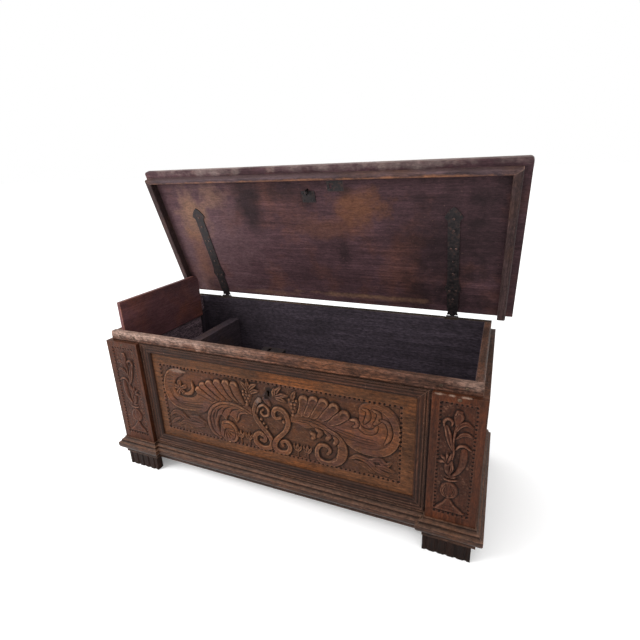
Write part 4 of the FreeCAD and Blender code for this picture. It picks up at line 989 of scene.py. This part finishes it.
def wood(kind, axis, carved=False, turn=0.0, spots=(), other=None, rules=None, name=""):
    """Old walnut: streaked grain, pores, stained patches, rubbed edges with painted highlight lines, dust
    and painted sheen, painted shade in quirks and in the carving's hollows. The faces that look along
    other's direction have other's colour."""
    own = bool(spots) or bool(other) or bool(rules) and kind != "base"
    key = "_".join([kind, axis] + ["carved"] * carved + [name] * own)
    if key in made:
        return made[key]
    worn, wear, dust_sheen, roughness = WOODS[kind][1], WOODS[kind][2], WOODS[kind][3], WOODS[kind][5]
    dark = shades(kind)[0]
    n = Nodes(bpy.data.materials.new(key))
    grain = Grain(n, axis, turn)
    fine_streaks = grain.drawn(lambda v: v, 6.5, 8.0, 0.72, 0.3)
    figure = grain.drawn(lambda v: 0.35 * v, 1.8, 5.0, 0.6, 1.8)
    streaks = n.math("ADD", n.math("MULTIPLY", fine_streaks, 0.62), n.math("MULTIPLY", figure, 0.38))
    patches = grain.even(6.0, 4.0, 0.6)
    colour = patchy(n, grain, kind, n.ramp(streaks, *zip(GRAIN_STOPS, shades(kind))), patches)
    ragged = grain.even(14.0, 5.0, 0.65)
    for centre, reach, tint, strength in spots:
        colour = spot(n, colour, centre, reach, tint, strength, ragged)
    if other:
        colour = faced(n, colour, *other, streaks, patches)
    colour = speckled(n, grain, kind, colour)
    pores = n.level(grain.drawn(lambda v: v * 3, 22.0, 2.0, 0.5), 0.60, 0.68)
    colour = n.mix(n.math("MULTIPLY", pores, 0.65), colour, dark)
    flecks = grain.even(150.0, 3.0, 0.6)
    colour = n.mix(n.level(flecks, 0.66, 0.76, 0.0, 0.5), colour, worn)
    scratches = grain.even(60.0, 3.0, 0.7)
    # mouldings and the base get narrow, strong edges: painted highlight lines besides wear
    radius, least = FINE_EDGE if kind in ("moulding", "base") else SOFT_EDGE
    rubbed_and_highlit = n.math("MULTIPLY", n.edge(radius), n.level(scratches, 0.38, 0.60, least, 1.0))
    if dust_sheen:
        # dust and painted sheen on faces that look up
        colour = dust_and_sheen(n, colour, dust_sheen, worn, scratches)
    if rules:
        # painted shade in the quirks, painted highlights on the arrises
        colour = painted_shade_and_highlight_lines(n, colour, *rules)
        worn = tuple(0.8 * c for c in worn)
    if carved:
        colour, rubbed_and_highlit = carved_colour(n, colour, dark, worn, scratches, rubbed_and_highlit)
    # wear on the edges, and on mouldings painted highlights
    colour = n.mix(n.math("MULTIPLY", rubbed_and_highlit, wear), colour, worn)
    n.feed("Base Color", colour)
    n.feed("Roughness", n.level(fine_streaks, 0.3, 0.7, roughness - 0.08, roughness + 0.14))
    n.feed("Specular IOR Level", SPECULAR)
    fine = n.bump(n.math("SUBTRACT", fine_streaks, n.math("MULTIPLY", pores, 0.5)), 0.0008, 1.0)
    n.feed("Normal", n.bump(grain.even(28.0, 2.0, 0.5), 0.0020, 0.6, fine))
    made[key] = n.material
    return n.material


def iron():
    """Forged iron: near black, with brown rust and rubbed edges."""
    if "iron" in made:
        return made["iron"]
    n = Nodes(bpy.data.materials.new("iron"))
    rust = n.noise(n.mapped((1, 1, 1)), 90.0, 5.0, 0.65)
    colour = n.ramp(rust, (0.38, (0.010, 0.008, 0.009)), (0.55, (0.024, 0.018, 0.019)),
                    (0.72, (0.070, 0.034, 0.026)))
    colour = n.mix(n.math("MULTIPLY", n.edge(0.0012), 0.4), colour, (0.10, 0.08, 0.08))
    n.feed("Base Color", colour)
    n.feed("Metallic", 0.6)
    n.feed("Roughness", n.level(rust, 0.3, 0.7, 0.42, 0.75))
    hammered = n.noise(n.mapped((1, 1, 1)), 55.0, 2.0, 0.5)
    n.feed("Normal", n.bump(hammered, 0.0012, 0.6))
    made["iron"] = n.material
    return n.material


def copper_nail():
    """Brownish heads with a little metal showing."""
    if "nail" in made:
        return made["nail"]
    n = Nodes(bpy.data.materials.new("nail"))
    age = n.noise(n.mapped((1, 1, 1)), 220.0, 3.0, 0.6)
    colour = n.ramp(age, (0.40, (0.035, 0.022, 0.020)), (0.68, (0.14, 0.080, 0.068)))
    n.feed("Base Color", colour)
    n.feed("Metallic", 0.7)
    n.feed("Roughness", n.level(age, 0.3, 0.7, 0.35, 0.6))
    n.feed("Normal", n.bump(age, 0.0004, 0.5))
    made["nail"] = n.material
    return n.material


def seen_directly(n):
    """1 for what the camera sees, also in metal and through glass."""
    path = n.add("LightPath").outputs
    seen = n.math("MAXIMUM", path["Is Camera Ray"], path["Is Transmission Ray"])
    return n.math("MAXIMUM", seen, path["Is Glossy Ray"])


def stage_material():
    """Matt white. What the camera, metal and glass see of it is lifted a little, to end in plain white."""
    n = Nodes(bpy.data.materials.new("stage"))
    grain = n.noise(n.mapped((1, 1, 1)), 3.0, 2.0, 0.5)
    n.feed("Base Color", n.ramp(grain, (0.3, (0.93, 0.93, 0.93)), (0.7, (0.95, 0.95, 0.95))))
    n.feed("Roughness", 0.9)
    n.feed("Specular IOR Level", 0.1)
    n.feed("Emission Color", (1, 1, 1, 1))
    n.feed("Emission Strength", n.math("MULTIPLY", seen_directly(n), STAGE_LIFT))
    return n.material


# Which wood each sub-part is made of, and along which direction its grain runs

FINISHES = {
    "front_top_rail": ("rail", "x"), "front_bottom_rail": ("rail", "x"), "carved_panel": ("panel", "x"),
    "back_board": ("back", "x"), "floor_boards": ("inside", "x"), "floor_cleat_front": ("raw", "x"),
    "floor_cleat_rear": ("raw", "x"), "frame_moulding_top": ("moulding", "x"),
    "frame_moulding_bottom": ("moulding", "x"), "base_moulding_centre": ("base", "x"),
    "till_divider": ("divider", "y"), "till_bottom": ("inside", "y"), "till_lid_rest": ("divider", "y"),
    "till_rear_post": ("inside", "z"), "till_lid": ("till", "y"), "lid_board": ("lid", "x"),
    "batten_front": ("batten_front", "x"),
}
# the same for the pieces that have a left and a right one
PAIRED_FINISHES = {
    "front_stile": ("stile", "z"), "side_board": ("rail", "y"), "frame_moulding": ("moulding", "z"),
    "pilaster": ("pilaster", "z"), "base_moulding_pilaster": ("base", "x"), "base_return": ("base", "y"),
    "base_moulding_side": ("base", "y"), "foot_front": ("foot", "z"), "foot_rear": ("raw", "z"),
    "batten": ("batten", "y"), "side_front_stile": ("rail", "z"), "side_rear_stile": ("rail", "z"),
    "side_top_rail": ("rail", "y"), "side_bottom_rail": ("rail", "y"),
}
for pair, finish in PAIRED_FINISHES.items():
    for end in ("_left", "_right"):
        FINISHES[pair + end] = finish


def dress(thing, material):
    """Gives the thing this one material."""
    thing.data.materials.clear()
    thing.data.materials.append(material)


def lid_marks():
    """Stains and worn places of the lid's underside and front edge, with painted light and painted shade
    on the underside.
    """
    tan = (0.17, 0.095, 0.060)
    orange = (0.125, 0.052, 0.026)
    black = (0.009, 0.006, 0.007)
    brown = (0.230, 0.180, 0.165)
    pale = (0.120, 0.070, 0.078)
    marks = []
    # the large pale mark on the left is painted light, the large black ones from x 450 to 655 are painted
    # shade
    for x, along, wide, long, tint, strength in ((-560, 300, 330, 330, pale, 0.45),
                                                 (480, 330, 240, 330, black, 0.3),
                                                 (-575, 400, 90, 130, tan, 0.75),
                                                 (-440, 480, 80, 60, tan, 0.45),
                                                 (-600, 180, 60, 160, orange, 0.5),
                                                 (-275, 440, 70, 130, black, 0.75),
                                                 (-120, 500, 120, 50, black, 0.5),
                                                 (190, 440, 120, 80, orange, 0.7),
                                                 (40, 350, 160, 60, orange, 0.35),
                                                 (112, 235, 30, 60, black, 0.6),
                                                 (655, 360, 90, 260, black, 0.5),
                                                 (500, 250, 140, 260, black, 0.5),
                                                 (450, 60, 240, 70, black, 0.55),
                                                 (-12, 470, 34, 34, black, 0.7),
                                                 (130, 505, 60, 30, black, 0.6),
                                                 (180, 40, 300, 16, tan, 0.65),
                                                 (-300, 20, 160, 14, tan, 0.35)):
        marks.append((on_lid(x, along, 0), (wide * MM, long * MM, long * MM), tint, strength))
    for x, wide, strength in ((-420, 330, 0.8), (60, 260, 0.6), (420, 300, 0.7), (700, 90, 0.4)):
        marks.append((on_lid(x, LID_FRONT_ALONG, -15), (wide * MM, 17 * MM, 26 * MM), brown, strength))
    return marks


def batten_marks():
    """The front batten's inner edge, rubbed to a lighter, warmer tone."""
    return [(on_lid(x, LID_FRONT_ALONG - 42, 30), (wide * MM, 9 * MM, 9 * MM), (0.19, 0.085, 0.045), 0.85)
            for x, wide in ((-480, 260), (0, 330), (440, 330))]


def ledge_sheen():
    """Painted sheen on the ledge over the right pilaster."""
    return [(place(x, 0, LEDGE_HEIGHT), (wide * MM, 8 * MM, 4 * MM), (0.26, 0.19, 0.15), 0.7)
            for x, wide in ((568, 16), (604, 10), (640, 20))]


KEYHOLE_SHADE = (0.003, 0.002, 0.002)


def keyhole_shade():
    """Painted shade: the keyhole's walls are painted black, as the hole is dark."""
    return [(place(KEY_X, PANEL_FACE + 10, KEY_Z - 6), (40 * MM, 80 * MM, 50 * MM), KEYHOLE_SHADE, 1.0)]


def rim_marks():
    """Lighter places of the front rim: wear from hands, and on the left painted sheen."""
    tint = (0.220, 0.148, 0.122)
    marks = []
    # the strong marks on the left are painted sheen as well as wear
    for x, wide, strength in ((-600, 160, 0.9), (-400, 200, 0.8), (-170, 160, 0.35), (650, 70, 0.5)):
        marks.append((place(x, FACING + 10, RIM_HEIGHT), (wide * MM, 60 * MM, 30 * MM), tint, strength))
    return marks


# Faces of a sub-part that have a colour of their own: the direction they look in and their wood
FACES = {
    # the left side board's inner face gets the lighter wall wood: painted light
    "back_board": ((0, -1, 0), "inside"), "side_board_left": ((1, 0, 0), "wall"),
    "side_board_right": ((-1, 0, 0), "inside"),
    "lid_board": ((0, math.sin(math.radians(OPEN_ANGLE)), math.cos(math.radians(OPEN_ANGLE))), "lid_top"),
}
# Painted shade and highlight lines along a moulding: distance from its start in millimetres, gain of the
# colour, half width
BASE_LINES = ((8.4, 0.35, 3.0), (19.7, 0.25, 4.0), (40.9, 1.7, 2.5), (49.6, 1.9, 2.5), (56.2, 0.22, 3.4),
              (61.3, 2.1, 1.6), (68.6, 0.25, 3.4), (73.0, 1.7, 0.9))
FRAME_LINES = ((0.0, 0.30, 3.0), (5.0, 1.9, 2.0), (11.0, 0.40, 3.0), (17.4, 1.9, 2.0), (22.0, 0.25, 2.5),
               (26.0, 2.1, 1.4), (31.0, 0.25, 3.0))
RAIL_LINES = ((0.0, 0.25, 4.0), (7.0, 1.5, 2.5), (11.5, 0.40, 2.0))
FRAME_HALF = 510.5
FRAME_TOP = 536.0
FRAME_BOTTOM = 165.0
FOOT_HEIGHT = 57.0
RULES = {
    "frame_moulding_top": ((0, 0, 1), FRAME_TOP, FRAME_LINES),
    "frame_moulding_bottom": ((0, 0, -1), -FRAME_BOTTOM, FRAME_LINES),
    "frame_moulding_left": ((-1, 0, 0), FRAME_HALF, FRAME_LINES),
    "frame_moulding_right": ((1, 0, 0), FRAME_HALF, FRAME_LINES),
    "front_top_rail": ((0, 0, 1), LEDGE_HEIGHT, RAIL_LINES),
}
LID_PIECES = ("lid_board", "batten_front", "batten_left", "batten_right")
LID_FRONT_ALONG = 594.7


def dress_nodes():
    """Gives every sub-part of the frame its material, and the wooden ones slightly worn edges."""
    for name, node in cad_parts.items():
        turn = math.radians(OPEN_ANGLE) if name in LID_PIECES else 0.0
        marks = {"lid_board": lid_marks, "front_top_rail": rim_marks, "batten_front": batten_marks,
                 "pilaster_right": ledge_sheen, "carved_panel": keyhole_shade}
        spots = marks[name]() if name in marks else ()
        rules = ((0, 0, 1), FOOT_HEIGHT, BASE_LINES) if name.startswith("base_") else RULES.get(name)
        if name in FINISHES:
            dress(node, wood(*FINISHES[name], turn=turn, spots=spots, other=FACES.get(name), rules=rules,
                             name=name))
        else:
            dress(node, iron())
        if name in FINISHES and not name.startswith(("floor", "till_bottom")):
            soft = node.modifiers.new("worn_edges", "BEVEL")
            soft.width = 1.2 * MM
            soft.segments = 2
            soft.limit_method = "ANGLE"
            soft.angle_limit = math.radians(35)
            soft.harden_normals = True


# Lid frame: closed coordinates about the hinge axis, turned to the open angle

def on_lid(x, along, depth):
    """A point under the lid: along is measured from the board's rear edge, depth below the board."""
    angle = math.radians(OPEN_ANGLE)
    y = -(REAR_GAP + along)
    z = BARREL_RADIUS - depth
    turned_y = y * math.cos(angle) + z * math.sin(angle)
    turned_z = -y * math.sin(angle) + z * math.cos(angle)
    return place(x, AXIS_Y + turned_y, AXIS_Z + turned_z)


def lid_down():
    """The direction that points out of the lid's underside."""
    angle = math.radians(OPEN_ANGLE)
    return Vector((0, -math.sin(angle), -math.cos(angle)))


def nails():
    """Domed heads of the nails in the straps and in the leaves."""
    verts, faces = [], []
    shares = [(0, 0.90), (0, 0.80), (-9, 0.64), (9, 0.64), (0, 0.52), (0, 0.40), (-12, 0.23),
              (12, 0.23), (0, 0.14)]
    hinge_x = FRONT_WIDTH / 2 - STRAP_INSET
    for side, length, lean in STRAPS:
        centre = side * hinge_x
        for dx, share in shares:
            dome(verts, faces, on_lid(centre + dx - share * lean, share * length, STRAP_THICKNESS),
                 lid_down(), random.uniform(4.2, 5.2) * MM, 0.45)
    dress(mesh_piece("strap_nails", verts, faces, "lid"), copper_nail())
    verts, faces = [], []
    for centre in (-hinge_x, hinge_x):
        for dx, down in ((-12, 34), (12, 34), (0, 84), (0, 128)):
            dome(verts, faces, place(centre + dx, BACK_FACE + STRAP_THICKNESS, AXIS_Z - down),
                 Vector((0, 1, 0)), 4.4 * MM, 0.45)
    dress(mesh_piece("leaf_nails", verts, faces, "chest"), iron())
    verts, faces = [], []
    for dx, along in ((-20, 466.5), (18, 466.5), (-20, 495.5), (17, 493.5)):
        dome(verts, faces, on_lid(STAPLE_X + dx, along, 2.5), lid_down(), 3.6 * MM, 0.4)
    for dx, along in ((-24, 505.5), (24, 505.5), (-24, 531.5), (24, 531.5)):
        dome(verts, faces, on_lid(CATCH_X + dx, along, 0), lid_down(), 3.0 * MM, 0.10)
    dress(mesh_piece("plate_nails", verts, faces, "lid"), iron())


def pegs():
    """Wooden peg heads of the joints."""
    verts, faces = [], []
    for face, height, radius, places in ((0, LEDGE_HEIGHT - 11, 6.0, (-624, 624)),
                                         (FACING, RIM_HEIGHT - 17, 5.0, (-640, -570, 570, 640))):
        for x in places:
            dome(verts, faces, place(x, face, height), Vector((0, -1, 0)), radius * MM, 0.15, sides=14)
    dress(mesh_piece("pegs", verts, faces, "chest"), wood("raw", "y"))


def panel_marks():
    """Worn places of the carving, and painted shade at the keyhole, where the hole is dark."""
    marks = []
    for x, z, wide, high, tint, strength in ((-42, 410, 16, 26, (0.13, 0.10, 0.09), 0.6),
                                             (-385, 474, 40, 10, (0.17, 0.115, 0.09), 0.6),
                                             # the two dark marks at the keyhole are painted shade of the
                                             # hole
                                             (-8, 436, 20, 16, (0.026, 0.027, 0.036), 0.9),
                                             (1, 449, 17, 26, KEYHOLE_SHADE, 1.0)):
        marks.append((place(x, PANEL_FACE, z), (wide * MM, 20 * MM, high * MM), tint, strength))
    return marks


def carvings():
    """The carved fields of the panel and of the two pilasters."""
    relief = carve_panel()
    piece = relief_piece("panel_carving", relief, (FIELD_LEFT, PANEL_GROUND - 1.0, FIELD_LOW), 0.9,
                         keyhole_gap)
    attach(piece, "chest")
    dress(piece, wood("carving", "x", carved=True, spots=panel_marks(), name="panel"))
    for side, name in ((1, "pilaster_carving_right"), (-1, "pilaster_carving_left")):
        relief = carve_pilaster(left=side < 0)
        left = side * (FRONT_WIDTH - PILASTER_BOARD) / 2 - PILASTER_WIDTH / 2
        piece = relief_piece(name, relief, (left, PILASTER_GROUND - 0.9, PILASTER_FIELD_LOW), 0.8)
        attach(piece, "chest")
        dress(piece, wood("pilaster_carving", "z", carved=True))


# Stage, light and camera

def stage():
    """A floor that ends in plain white."""
    bpy.ops.mesh.primitive_plane_add(size=400, location=(0, 0, 0))
    floor = bpy.context.object
    floor.name = "stage_floor"
    dress(floor, stage_material())


SKY_LOW = 0.56
SKY_RISE = 0.66
SKY_SIDE = 0.65
BRIGHT_SIDE = (-0.72, -0.45, 0.53)


def world_light():
    """A white room, brighter above and on the left in front. The camera sees plain white."""
    world = bpy.data.worlds.new("studio")
    bpy.context.scene.world = world
    n = Nodes(world)
    n.tree.nodes.clear()
    direction = n.coordinates("Generated")
    parts = n.add("SeparateXYZ")
    n.link(direction, parts.inputs[0])
    above = n.math("MAXIMUM", parts.outputs["Z"], 0.0)
    bright = n.math("MAXIMUM", n.dot(direction, BRIGHT_SIDE), 0.0)
    strength = n.math("ADD", n.math("MULTIPLY", above, SKY_RISE), SKY_LOW)
    strength = n.math("ADD", strength, n.math("MULTIPLY", n.math("MULTIPLY", bright, bright), SKY_SIDE))
    soft, white = n.add("Background"), n.add("Background")
    n.link(strength, soft.inputs["Strength"])
    choose = n.add("MixShader")
    n.link(seen_directly(n), choose.inputs["Fac"])
    for socket, shade in ((choose.inputs[1], soft), (choose.inputs[2], white)):
        shade.inputs["Color"].default_value = (1, 1, 1, 1)
        n.link(shade.outputs[0], socket)
    n.link(choose.outputs[0], n.add("OutputWorld").inputs["Surface"])


def lights():
    """The room, a key light from the left and a weak one from the right."""
    world_light()
    for name, spot_place, aim, size, power in (("key", (-1.9, -1.7, 1.8), (-0.4, 0, 0.6), 1.3, 62),
                                               ("fill", (2.4, -3.4, 1.6), (0, 0, 0.4), 2.4, 20)):
        data = bpy.data.lights.new(name, "AREA")
        data.size = size
        data.energy = power
        lamp = bpy.data.objects.new(name, data)
        lamp.location = spot_place
        lamp.rotation_euler = (Vector(aim) - Vector(spot_place)).to_track_quat("-Z", "Y").to_euler()
        bpy.context.scene.collection.objects.link(lamp)


CAMERA_PLACE = (682.9, -1083.9, 1163.2)
CAMERA_YAW = 23.403
CAMERA_PITCH = -19.397
CAMERA_ROLL = -1.995
FOCAL_PIXELS = 422.99
IMAGE_PIXELS = 640
SENSOR = 36.0


def camera():
    """The photograph's camera, as fitted."""
    yaw, pitch, roll = (math.radians(a) for a in (CAMERA_YAW, CAMERA_PITCH, CAMERA_ROLL))
    forward = Vector((-math.sin(yaw) * math.cos(pitch), math.cos(yaw) * math.cos(pitch), math.sin(pitch)))
    level = Vector((math.cos(yaw), math.sin(yaw), 0))
    up = level.cross(forward)
    right = level * math.cos(roll) + up * math.sin(roll)
    above = up * math.cos(roll) - level * math.sin(roll)
    data = bpy.data.cameras.new("camera")
    data.sensor_width = SENSOR
    data.lens = FOCAL_PIXELS / IMAGE_PIXELS * SENSOR
    eye = bpy.data.objects.new("camera", data)
    matrix = Matrix((right, above, -forward)).transposed().to_4x4()
    matrix.translation = place(*CAMERA_PLACE)
    eye.matrix_world = matrix
    bpy.context.scene.collection.objects.link(eye)
    bpy.context.scene.camera = eye
    bpy.context.scene.view_settings.view_transform = "Standard"


dress_nodes()
carvings()
nails()
pegs()
stage()
lights()
camera()
